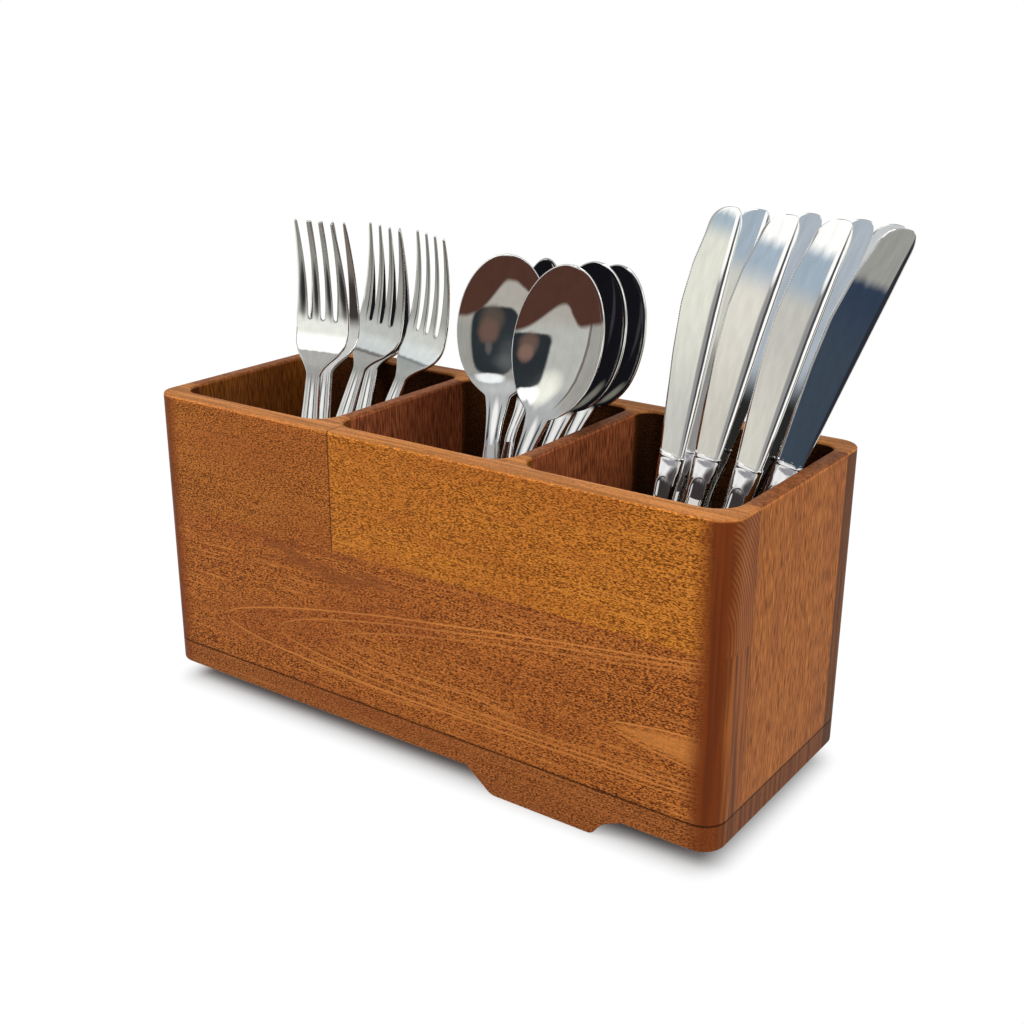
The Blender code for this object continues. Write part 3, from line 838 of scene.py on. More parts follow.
@dataclass(frozen=True)
class SteelFinish:
    """Polished stainless steel with fine lengthwise hairlines, duller on a blade.

    polish and satin are the roughness of the handle and the blade, which starts at blade_start.
    """

    name: str
    colour: Colour = (0.66, 0.655, 0.635)
    bright_share: float = 1.04
    dim_share: float = 0.92
    polish: float = 0.085
    satin: float = 0.11
    blade_start: float = 1.0
    hair_scale: Place = (5200.0, 900.0, 60.0)
    cloud_scale: Place = (120.0, 120.0, 40.0)

    def material(self) -> bpy.types.Material:
        """Build the material. Hairlines are noise over the piece's own place, drawn out along it.

        Returns:
            The finished material.
        """
        shading = Shading(self.name)
        place = shading.add("ShaderNodeAttribute", {"attribute_name": "own_place"}, output="Vector")
        along = shading.split(place)[2]
        hair = shading.noise(place, self.hair_scale, 3.0, 0.6)
        cloud = shading.noise(place, self.cloud_scale, 3.0)
        blade = along.rise(self.blade_start - 0.0008, self.blade_start + 0.0008)
        tone = (hair.swing(0.10) + cloud.swing(0.06) + 1.0).rise(0.94, 1.06)
        rough = blade * (self.satin - self.polish) + self.polish + hair.swing(0.05) + cloud.swing(0.03)
        bump = {"Strength": 0.05, "Distance": 0.00002, "Height": hair}
        dim, bright = tinted(self.colour, self.dim_share), tinted(self.colour, self.bright_share)
        shader = shading.add("ShaderNodeBsdfPrincipled", inputs={
            "Base Color": shading.mix(tone, dim, bright),
            "Metallic": 1.0,
            "Roughness": rough,
            "Normal": shading.add("ShaderNodeBump", inputs=bump, output="Normal"),
        })
        return shading.surface(shader)


# The wooden box


ORANGE_TOP = (0.50, 0.190, 0.050)
BROWN_TOP = (0.245, 0.082, 0.028)
WOODS = (
    WoodFinish(
        "front_wood", Grain.LENGTHWISE,
        deep=(0.150, 0.033, 0.003), light=(0.382, 0.115, 0.019), pale=(0.54, 0.195, 0.042), top=ORANGE_TOP,
        figures=(
            Figure((-0.109, 0.033), opening=0.0030, slope=0.074),
            Figure((0.1017, 0.0430), opening=0.0012, slope=-0.05, spacing=0.020, arcs=1, warmth=0.60),
        ),
        blotch_strength=0.75, end_strength=1.0,
    ),
    WoodFinish(
        "front_red_wood", Grain.LENGTHWISE,
        deep=(0.180, 0.044, 0.003), light=(0.385, 0.124, 0.020), pale=(0.46, 0.165, 0.036), top=ORANGE_TOP,
        broad_strength=0.25, streak_strength=0.30, line_strength=0.10, end_strength=1.0, butt_line=1.0,
        shift=(0.31, 0.07, 0.13),
    ),
    WoodFinish(
        "front_amber_wood", Grain.LENGTHWISE,
        deep=(0.250, 0.066, 0.003), light=(0.476, 0.162, 0.019), pale=(0.58, 0.215, 0.034), top=ORANGE_TOP,
        broad_strength=0.35, end_strength=1.0, butt_line=1.0, shift=(0.77, 0.21, 0.05),
    ),
    WoodFinish(
        "back_wood", Grain.LENGTHWISE,
        deep=(0.195, 0.046, 0.004), light=(0.385, 0.120, 0.022), pale=(0.46, 0.165, 0.036), top=ORANGE_TOP,
        end_strength=1.0, shift=(0.17, 0.33, 0.41),
    ),
    WoodFinish(
        "end_wood", Grain.UPRIGHT,
        deep=(0.240, 0.060, 0.006), light=(0.380, 0.117, 0.017), pale=(0.46, 0.165, 0.036), top=BROWN_TOP,
        fleck_size=(0.0070, 0.00044), fleck_edges=(0.36, 0.66), shift=(0.05, 0.61, 0.23),
    ),
    WoodFinish(
        "partition_wood", Grain.UPRIGHT,
        deep=(0.280, 0.066, 0.020), light=(0.500, 0.140, 0.048), pale=(0.52, 0.175, 0.066), top=BROWN_TOP,
        fleck_size=(0.0075, 0.00060), fleck_edges=(0.36, 0.64), inner=0.92, shift=(0.43, 0.19, 0.87),
    ),
    WoodFinish(
        "base_wood", Grain.LENGTHWISE,
        deep=(0.165, 0.042, 0.005), light=(0.318, 0.098, 0.021), pale=(0.42, 0.150, 0.040), top=BROWN_TOP,
        end_strength=0.8, shift=(0.57, 0.83, 0.29),
    ),
    WoodFinish(
        "foot_wood", Grain.UPRIGHT,
        deep=(0.120, 0.034, 0.010), light=(0.260, 0.088, 0.028), pale=(0.30, 0.110, 0.045), top=BROWN_TOP,
        shift=(0.11, 0.37, 0.59),
    ),
)


@dataclass
class WoodenBox:
    """Boards, base and feet of the box."""

    box: Box = BOX
    tab_from_left: float = 0.1805
    tab_width: float = 0.0742
    tab_depth: float = 0.0095
    tab_thickness: float = 0.0100
    tab_left_run: float = 0.0115
    tab_right_run: float = 0.0122
    tab_corner: float = 0.0025
    tab_hollow_shares: Pair = (0.70, 0.30)
    tab_ease: float = 0.0006
    foot_radius: float = 0.0085
    foot_inset: float = 0.0250
    foot_floor_radius: float = 0.0055
    foot_floor_ease: float = 0.0002
    foot_waist_radius: float = 0.0068
    foot_seat_depth: float = 0.0012
    spigot_radius: float = 0.0035
    spigot_length: float = 0.0060
    foot_sides: int = 48
    finishes: dict[str, bpy.types.Material] = field(default_factory=dict)

    def dress_board(self, piece: bpy.types.Object, node: str, finish: str) -> None:
        """Give a wooden piece its finish, in the box's body."""
        dress(piece, node, "box", self.finishes[finish])

    def board_outline(self, board: float, wall: float) -> Outline:
        """Front board seen from above: rounded outside, scooped out behind into the three bays.

        Args:
            board: Thickness of the board.
            wall: Thickness that is left at a bay.

        Returns:
            The outline of a board whose outside faces -Y.
        """
        box = self.box
        radius = box.corner_radius
        joint = box.front + board
        scoop = board - wall
        parts = [
            Outline.corners([(box.left, joint)], [(0.0, 0.0)]),
            Outline.arc((box.left + radius, box.front + radius), radius, 180, 270, box.top_ease),
            Outline.arc((box.right - radius, box.front + radius), radius, 270, 360, box.top_ease),
            Outline.corners([(box.right, joint)], [(0.0, 0.0)]),
        ]
        parts[0].give[0] = (box.top_ease, 0.0)
        parts[3].give[0] = (-box.top_ease, 0.0)
        for low, high in reversed(list(box.bays.values())):
            parts.append(Outline.arc((high - scoop, joint), scoop, 0, -90, box.top_ease, hollow=True))
            parts.append(Outline.arc((low + scoop, joint), scoop, -90, -180, box.top_ease, hollow=True))
        return Outline.joined(*parts)

    def make_staves(self) -> None:
        """Front and back boards, each of staves glued edge to edge."""
        box = self.box
        front = self.board_outline(box.front_board, box.front_wall)
        back = self.board_outline(box.back_board, box.back_wall).mirrored()
        low = box.base_thickness + box.glue_gap
        seam = box.tight_gap / 2
        half_butt = box.glue_gap / 4
        front_low = eased_levels(low, box.front_seam - seam)
        front_high = eased_levels(box.front_seam + seam, box.height, box.top_ease)
        back_low = eased_levels(low, box.back_seam - seam)
        back_high = eased_levels(box.back_seam + seam, box.height, box.top_ease)
        left = front.clipped(box.butt - half_butt, Side.LEFT)
        right = front.clipped(box.butt + half_butt, Side.RIGHT)
        for node, outline, levels, slot, finish in (
            ("front_lower_stave", front, front_low, "front_wood", "front_wood"),
            ("front_upper_left_stave", left, front_high, "front_red_wood", "front_red_wood"),
            ("front_upper_right_stave", right, front_high, "front_wood", "front_amber_wood"),
            ("back_lower_stave", back, back_low, "front_wood", "back_wood"),
            ("back_upper_stave", back, back_high, "front_wood", "back_wood"),
        ):
            self.dress_board(raise_outline(node + "_wood", outline, levels), node, finish)

    def make_standing_boards(self) -> None:
        """End panels and partitions: upright boards with both top edges eased."""
        box = self.box
        bays = box.bays
        gap = box.glue_gap / 3
        y_low = box.front_joint + gap
        y_high = box.back_joint - gap
        levels = eased_levels(box.base_thickness + box.glue_gap, box.height, box.top_ease)
        ease = box.top_ease
        for node, low, high, finish in (
            ("left_end_panel", box.left, bays["fork"][0], "end_wood"),
            ("left_partition", bays["fork"][1], bays["spoon"][0], "partition_wood"),
            ("right_partition", bays["spoon"][1], bays["knife"][0], "partition_wood"),
            ("right_end_panel", bays["knife"][1], box.right, "end_wood"),
        ):
            corners = [(low, y_low), (high, y_low), (high, y_high), (low, y_high)]
            give = [(ease, 0.0), (-ease, 0.0), (-ease, 0.0), (ease, 0.0)]
            piece = raise_outline(node + "_wood", Outline.corners(corners, give), levels)
            self.dress_board(piece, node, finish)

    def tab_outline(self) -> Points:
        """Tab below the front edge, straight on its left and hollow on its right.

        The corners are curves (1-t) squared of the start, 2t(1-t) of the corner and t squared of the end.

        Returns:
            Points across and up, anticlockwise seen from the front, from the top right corner.
        """
        low = -self.tab_depth
        low_left = self.tab_left_run
        low_right = self.tab_width - self.tab_right_run
        share = self.tab_corner / math.hypot(self.tab_left_run, self.tab_depth)
        on_slope = (low_left * (1 - share), low * (1 - share))
        on_side = (low_right + self.tab_corner / 2, low + self.tab_corner)
        in_run, in_depth = self.tab_hollow_shares
        hollow = (self.tab_width - self.tab_right_run * in_run, low * in_depth)

        def bend(start: Pair, corner: Pair, end: Pair) -> Points:
            """Points of one curved corner."""
            t = np.linspace(0.0, 1.0, 2 * EASE_STEPS + 1)[:, None]
            start, corner, end = np.array(start), np.array(corner), np.array(end)
            return (1 - t) ** 2 * start + 2 * t * (1 - t) * corner + t ** 2 * end

        return np.concatenate([
            bend(on_slope, (low_left, low), (low_left + self.tab_corner, low)),
            bend((low_right - self.tab_corner, low), (low_right, low), on_side),
            bend(on_side, hollow, (self.tab_width, 0.0))[1:],
            [(self.tab_width, self.tab_depth / 2), (0.0, self.tab_depth / 2), (0.0, 0.0)],
        ])

    def make_tab(self) -> bpy.types.Object:
        """Tab as rings of its outline from the back to the front, drawn in a little at the front edge.

        Returns:
            The closed tab.
        """
        outline = self.tab_outline()
        levels = eased_levels(0.0, self.tab_thickness, self.tab_ease)
        middle = np.array([self.tab_width / 2, self.tab_depth / 2])
        give = (middle - outline) / np.array([self.tab_width / 2, self.tab_depth * 1.5])
        give[outline[:, 1] >= 0.0] = 0.0
        rings = outline[None] + self.tab_ease * levels[:, 1, None, None] * give[None]
        forward = np.broadcast_to(levels[:, 0, None], rings.shape[:2])
        return close_rings("tab", np.stack([
            self.box.left + self.tab_from_left + rings[..., 0],
            self.box.front + self.tab_thickness - forward,
            rings[..., 1],
        ], axis=-1))

    def foot_places(self) -> dict[str, Pair]:
        """Middles of the four feet."""
        reach_x = self.box.length / 2 - self.foot_inset
        reach_y = self.box.depth / 2 - self.foot_inset
        return {
            f"{y_side}_{x_side}_foot": (x_sign * reach_x, y_sign * reach_y)
            for y_side, y_sign in (("front", -1), ("back", 1))
            for x_side, x_sign in (("left", -1), ("right", 1))
        }

    def turned(self, name: str, profile: Points, place: Pair) -> bpy.types.Object:
        """Solid of revolution: each profile point (radius, height) becomes radius times (cosine, sine).

        Args:
            name: Name of the piece.
            profile: Radius and height, upwards, from the axis to the axis.
            place: Where the axis stands.

        Returns:
            The closed piece.
        """
        angles = np.linspace(0.0, 2 * math.pi, self.foot_sides, endpoint=False)
        circle = np.stack([np.cos(angles), np.sin(angles)], axis=1)
        rings = profile[:, 0, None, None] * circle[None] + np.array(place)
        heights = np.broadcast_to(profile[:, 1, None, None], (len(profile), len(angles), 1))
        points = np.concatenate([rings, heights], axis=2).reshape(-1, 3)
        return new_piece(name, points, grid_quads(len(profile), len(angles), closed=True))

    def make_base(self) -> None:
        """Base board with its eased underside, its tab and the seats of its feet."""
        box = self.box
        radius = box.corner_radius
        parts = []
        for x_side, y_side, start in ((-1, -1, 180), (1, -1, 270), (1, 1, 0), (-1, 1, 90)):
            centre = (x_side * (box.right - radius), y_side * (box.back - radius))
            parts.append(Outline.arc(centre, radius, start, start + 90, box.base_ease))
        levels = eased_levels(0.0, box.base_thickness, base_ease=box.base_ease)
        piece = raise_outline("base_board_wood", Outline.joined(*parts), levels)
        gap = box.glue_gap
        wide, narrow = self.foot_radius + gap, self.spigot_radius + gap
        seat, bore = self.foot_seat_depth, self.spigot_length + gap
        hole = np.array([
            (0.0, -box.foot_height), (wide, -box.foot_height), (wide, seat),
            (narrow, seat), (narrow, bore), (0.0, bore),
        ])
        tools = [(self.make_tab(), "UNION")]
        for name, place in self.foot_places().items():
            tools.append((self.turned(name + "_seat", hole, place), "DIFFERENCE"))
        for tool, operation in tools:
            modifier = piece.modifiers.new(tool.name, "BOOLEAN")
            modifier.operation = operation
            modifier.solver = "EXACT"
            modifier.object = tool
        bpy.context.view_layer.update()
        finished = bpy.data.meshes.new_from_object(piece.evaluated_get(bpy.context.evaluated_depsgraph_get()))
        piece.modifiers.clear()
        piece.data = finished
        finished.set_sharp_from_angle(angle=SHARP_ANGLE)
        for tool, _ in tools:
            bpy.data.objects.remove(tool)
        self.dress_board(piece, "base_board", "base_wood")

    def make_feet(self) -> None:
        """Turned button feet, with a belly between floor and shoulder that swells as half a sine wave."""
        shoulder = self.foot_seat_depth - self.box.glue_gap
        floor = -self.box.foot_height
        base, waist = self.foot_floor_radius, self.foot_waist_radius
        belly = np.linspace(0.0, 1.0, FOOT_RINGS)[1:-1]
        heights = floor + (shoulder - floor) * belly
        bulge = (self.foot_radius - (base + waist) / 2) * np.sin(math.pi * belly)
        swell = base + (waist - base) * belly + bulge
        profile = np.array([
            (0.0, floor), (base * 0.96, floor), (base, floor + self.foot_floor_ease),
            *zip(swell, heights),
            (waist, shoulder), (self.spigot_radius, shoulder),
            (self.spigot_radius, self.spigot_length), (0.0, self.spigot_length),
        ])
        for name, place in self.foot_places().items():
            self.dress_board(self.turned(name + "_wood", profile, place), name, "foot_wood")

    def build(self) -> None:
        """Make every wooden piece."""
        self.finishes = {finish.name: finish.material() for finish in WOODS}
        self.make_staves()
        self.make_standing_boards()
        self.make_base()
        self.make_feet()


FOOT_RINGS = 13


# Cutlery


def shell(
    middle: Points, normals: Points, front: np.ndarray, back: np.ndarray, valid: np.ndarray | None = None
) -> tuple[Points, Faces]:
    """Closed thin piece over a grid: the middle surface plus and minus its half thickness along its normal.

    Args:
        middle: Grid of places, rows along the piece and columns across it.
        normals: Unit normals towards the front.
        front: Height of the front above the middle surface.
        back: Depth of the back below it.
        valid: Which quads of the grid are there, or nothing where all are.

    Returns:
        Points and quads, with walls along every edge of the grid and of its openings.
    """
    rows, columns = front.shape
    if valid is None:
        valid = np.ones((rows - 1, columns - 1), bool)
    points = np.concatenate([
        (middle + normals * front[..., None]).reshape(-1, 3),
        (middle - normals * back[..., None]).reshape(-1, 3),
    ])
    index = np.arange(rows * columns).reshape(rows, columns)
    behind = rows * columns
    faces = grid_quads(rows, columns)[valid.ravel()]
    above, below = np.pad(valid, ((0, 1), (0, 0))), np.pad(valid, ((1, 0), (0, 0)))
    right, left = np.pad(valid, ((0, 0), (0, 1))), np.pad(valid, ((0, 0), (1, 0)))
    first, second = index[:, :-1], index[:, 1:]
    low, high = index[:-1], index[1:]
    walls = []
    for start, end, there in (
        (second, first, above & ~below),
        (first, second, below & ~above),
        (low, high, right & ~left),
        (high, low, left & ~right),
    ):
        start, end = start[there], end[there]
        walls.append(np.stack([start, end, end + behind, start + behind], axis=-1))
    return points, np.concatenate([faces, faces[:, ::-1] + behind, *walls])


def rounded_edge(inset: np.ndarray, radius: np.ndarray | float) -> np.ndarray:
    """Share of the full thickness at a distance in from an edge: a quarter circle on a small flat."""
    share = np.clip(inset / radius, 0.0, 1.0)
    return EDGE_FLAT_SHARE + (1 - EDGE_FLAT_SHARE) * np.sqrt(1 - (1 - share) ** 2)


def evened(values: np.ndarray, window: int) -> np.ndarray:
    """Values evened out by a moving bell, an odd number of places wide."""
    bell = np.hanning(window)
    padded = np.pad(values, window // 2, mode="reflect", reflect_type="odd")
    return np.convolve(padded, bell / bell.sum(), mode="valid")


def both_sides(*stretches: tuple[float, int], rim_steps: int) -> np.ndarray:
    """Shares from -1 to 1, alike on both sides: even stretches out from the middle, then closer to the rim.

    The last places follow a quarter of a sine wave.

    Args:
        stretches: Where each even stretch ends, and its number of places.
        rim_steps: Number of places of the last stretch, which ends at 1.

    Returns:
        The shares.
    """
    half = np.zeros(1)
    for end, count in stretches:
        half = np.concatenate([half, np.linspace(half[-1], end, count)[1:]])
    rim = half[-1] + (1 - half[-1]) * np.sin(np.linspace(0.0, math.pi / 2, rim_steps))
    half = np.concatenate([half, rim[1:]])
    return np.concatenate([-half[:0:-1], half])


def front_normals(tilt: np.ndarray, lean: np.ndarray) -> Points:
    """Unit normals towards the front of a surface whose slopes across and along are given."""
    normals = np.stack([-tilt, -np.ones_like(lean), -lean], axis=-1)
    return normals / np.linalg.norm(normals, axis=-1, keepdims=True)


EDGE_FLAT_SHARE = 0.14
EVENING_WINDOW = 41
HANDLE_END_STEPS = 12


@dataclass(frozen=True)
class Step:
    """Change of colour along a sheet, in shares of the piece's length."""

    place: float
    colour: Colour
    width: float = 0.06

    def mask(self, across: Link, along: Link) -> Link:
        """1 past its place, 0 before it."""
        return along.rise(self.place - self.width / 2, self.place + self.width / 2) + across * 0.0


@dataclass(frozen=True)
class Zone:
    """Soft-edged oval on a sheet, in shares across and along it."""

    middle: Pair
    half: Pair
    colour: Colour
    squareness: float = 2.0
    softness: float = 0.5

    def mask(self, across: Link, along: Link) -> Link:
        """1 inside the oval. Both shares from its middle, raised to its squareness, add up to its measure."""
        measure = abs((across - self.middle[0]) / self.half[0]) ** self.squareness
        measure = measure + abs((along - self.middle[1]) / self.half[1]) ** self.squareness
        return 1 - measure.rise(1 - self.softness, 1 + self.softness)


@dataclass(frozen=True)
class Arch:
    """Everything over a bell-shaped line that falls to a side height, which itself may slope."""

    middle: float
    side: float
    height: float
    reach: Pair
    colour: Colour
    slope: float = 0.0
    power: float = 2.3
    softness: float = 0.022

    def mask(self, across: Link, along: Link) -> Link:
        """1 over the line. The bell falls as the exponential of the share of its reach on either side."""
        left, right = self.reach
        away = across - self.middle
        share = (away / right).math("MAXIMUM", away / -left)
        bell = ((share ** self.power) * -1.0).math("EXPONENT")
        over = along - self.side - across * self.slope - bell * self.height
        return over.rise(-self.softness, self.softness)


@dataclass(frozen=True)
class Sheet:
    """Painted reflection of one piece: a glowing sheet just before its front, with soft-edged colours.

    Shares across run from -1 to 1, and shares along from 0 to 1 over a fork's head, a spoon's bowl or a
    blade. Shares along below 0 lie on the neck and handle.
    """

    number: int
    colour: Colour
    marks: tuple[Step | Zone | Arch, ...] = ()
    slant: float = 0.0

    def material(self, name: str) -> bpy.types.Material:
        """Build the glowing material, one mark over the other, with fine hairs and slow waves.

        Args:
            name: Name of the sheet.

        Returns:
            The finished material.
        """
        shading = Shading(name + "_glow")
        place = shading.add("ShaderNodeAttribute", {"attribute_name": "own_place"}, output="Vector")
        across, along, _ = shading.split(place)
        hair = shading.noise(place, (60.0, 1.5, 1.0), 3.0, 0.6)
        wave = shading.noise(place, (3.0, 9.0, 1.0))
        along = along + across * self.slant + hair.swing(0.008) + wave.swing(0.030)
        across = across + wave.swing(0.05)
        colour = self.colour
        for mark in self.marks:
            colour = shading.mix(mark.mask(across, along), colour, mark.colour)
        colour = shading.scale(colour, hair.swing(0.35) + wave.swing(0.30) + 1.0)
        return shading.surface(shading.glow(colour))


# Painted shade black for the hidden spoons' sheets, and a white glow for bright painted reflections.
PAINTED_SHADE_BLACK = (0.009, 0.009, 0.013)
WHITE_GLOW = (1.60, 1.60, 1.60)


@dataclass
class Cutlery:
    """What forks, spoons and knives share: a bay, standing lines, and a handle with its ribs."""

    kind: str
    length: float
    handle_width: float
    handle_shares: tuple[Pair, ...]
    neck_start: float
    floor_shares: tuple[Pair, ...]
    rim_shares: tuple[Pair, ...]
    turns: tuple[float, ...]
    sheets: tuple[Sheet, ...] = ()
    neck_length: float = 0.0
    dip: float = 0.0
    rest_gap: float = 0.0003
    lean_thickness: float = 0.0
    rib_edge: float = 0.0012
    rib_fade: Pair = (0.003, 0.010)
    box: Box = BOX

    def handle_levels(self, *stretches: tuple[float, int]) -> np.ndarray:
        """Distances along a handle: closer together in its round end, then evenly through each stretch.

        Args:
            stretches: Where each stretch ends, and its number of places.

        Returns:
            The distances, from 0 to the end of the last stretch.
        """
        levels = self.handle_width / 2 * (1 - np.cos(np.linspace(0.0, math.pi / 2, HANDLE_END_STEPS)))
        for end, count in stretches:
            levels = np.concatenate([levels, np.linspace(levels[-1], end, count)[1:]])
        return levels

    def handle_half(self, distance: np.ndarray) -> np.ndarray:
        """Half width of the handle, from its shares, with its end rounded to half its width."""
        places = [share * self.neck_start for share, _ in self.handle_shares]
        halves = [share * self.handle_width / 2 for _, share in self.handle_shares]
        radius = self.handle_width / 2
        end = np.sqrt(np.clip(1 - (1 - np.clip(distance / radius, 0, 1)) ** 2, 0, 1))
        fine = np.linspace(0.0, self.neck_start, 400)
        return np.interp(distance, fine, evened(np.interp(fine, places, halves), EVENING_WINDOW)) * end

    def set_back(self, distance: np.ndarray) -> np.ndarray:
        """How far the neck has gone back: half a cosine wave over its length, down to its dip."""
        share = np.clip((distance - self.neck_start) / self.neck_length, 0, 1)
        return -self.dip * (1 - np.cos(math.pi * share)) / 2

    def standing(self, number: int, points: Points) -> tuple[np.ndarray, np.ndarray]:
        """Where a piece stands: its line runs from the base board to the rim.

        The up direction goes from the floor place to the rim place. The facing direction is turned about
        Z from the front and then made square to up, and across is up times facing. The piece is lifted
        along its line until its lowest point clears the base board.

        Args:
            number: Which piece, from 0.
            points: Its own points.

        Returns:
            The turning, whose columns are across, backwards and up, and the place of its end.
        """
        box = self.box
        low_x, high_x = box.bays[self.kind]
        depth = box.pocket_back - box.pocket_front

        def inside(shares: Pair, height: float) -> np.ndarray:
            """Place at a height over shares of the bay's inside length and depth."""
            x = low_x + (high_x - low_x) * shares[0]
            return np.array([x, box.pocket_front + depth * shares[1], height])

        foot = inside(self.floor_shares[number], box.base_thickness)
        up = inside(self.rim_shares[number], box.height) - foot
        up /= np.linalg.norm(up)
        angle = math.radians(self.turns[number])
        facing = np.array([math.sin(angle), -math.cos(angle), 0.0])
        facing -= up * facing.dot(up)
        facing /= np.linalg.norm(facing)
        turning = np.stack([np.cross(up, facing), -facing, up], axis=1)
        lowest = (points @ turning.T)[:, 2].min()
        lift = self.rest_gap + self.lean_thickness / 2 * abs(facing[2]) - lowest
        return turning, foot + up * lift / up[2]

    def rib_height(self, share: np.ndarray) -> np.ndarray:
        """Relief of the handle's front across it: a groove each side of a low middle rib, then a bead.

        The groove is a bell of 1 - 0.5 wide, and the bead and the middle are half waves.

        Args:
            share: Place across, from 0 in the middle to 1 at the edge.

        Returns:
            Height above the plain front.
        """
        groove = np.exp(-((share - 0.57) / 0.075) ** 2)
        bead = np.sin(math.pi * np.clip((share - 0.60) / 0.40, 0, 1)) ** 1.5
        rib = np.cos(math.pi / 2 * np.clip(share / 0.55, 0, 1))
        return -0.00042 * groove + 0.00026 * bead + 0.00016 * rib

    def ribs(self, share: np.ndarray, distance: np.ndarray, inset: np.ndarray, fade: float) -> np.ndarray:
        """Relief of the handle, which fades out at its end, at its edges and at the neck.

        Args:
            share: Place across, from 0 in the middle to 1 at the edge.
            distance: Place along it.
            inset: Distance in from the edge.
            fade: How far before the neck it starts to fade.

        Returns:
            Height above the plain front.
        """
        on_handle = 1 - smooth_share(distance, self.neck_start - fade, self.neck_start + 0.010)
        relief = self.rib_height(share) * on_handle * rounded_edge(inset, self.rib_edge)
        return relief * smooth_share(distance, *self.rib_fade)

    def place_all(self, points: Points, quads: Faces, local: Points, material: bpy.types.Material) -> None:
        """Set one copy of the piece on each standing line.

        Args:
            points: Points in the piece's own frame.
            quads: Its faces.
            local: The points that say how far it is lifted.
            material: Its finish.
        """
        for number in range(len(self.turns)):
            node = f"{self.kind}_{number + 1}"
            turning, foot = self.standing(number, local)
            piece = new_piece(node + "_steel", points @ turning.T + foot, quads, local=points, sharp=False)
            dress(piece, node, node + "_body", material)

    def place_sheets(self, points: Points, shares: Points, local: Points) -> None:
        """Set each painted reflection sheet just before its piece, where only polished steel shows it.

        Args:
            points: Grid of a sheet's points in the piece's own frame.
            shares: Grid of its shares across and along.
            local: The points that say how far the piece is lifted.
        """
        own = np.concatenate([shares, np.zeros_like(shares[..., :1])], axis=-1).reshape(-1, 3)
        for sheet in self.sheets:
            name = f"{self.kind}_{sheet.number}_sheet"
            turning, foot = self.standing(sheet.number - 1, local)
            place = points.reshape(-1, 3) @ turning.T + foot
            piece = new_piece(name, place, grid_quads(*points.shape[:2]), local=own)
            only_in_steel(piece, sheet.material(name))


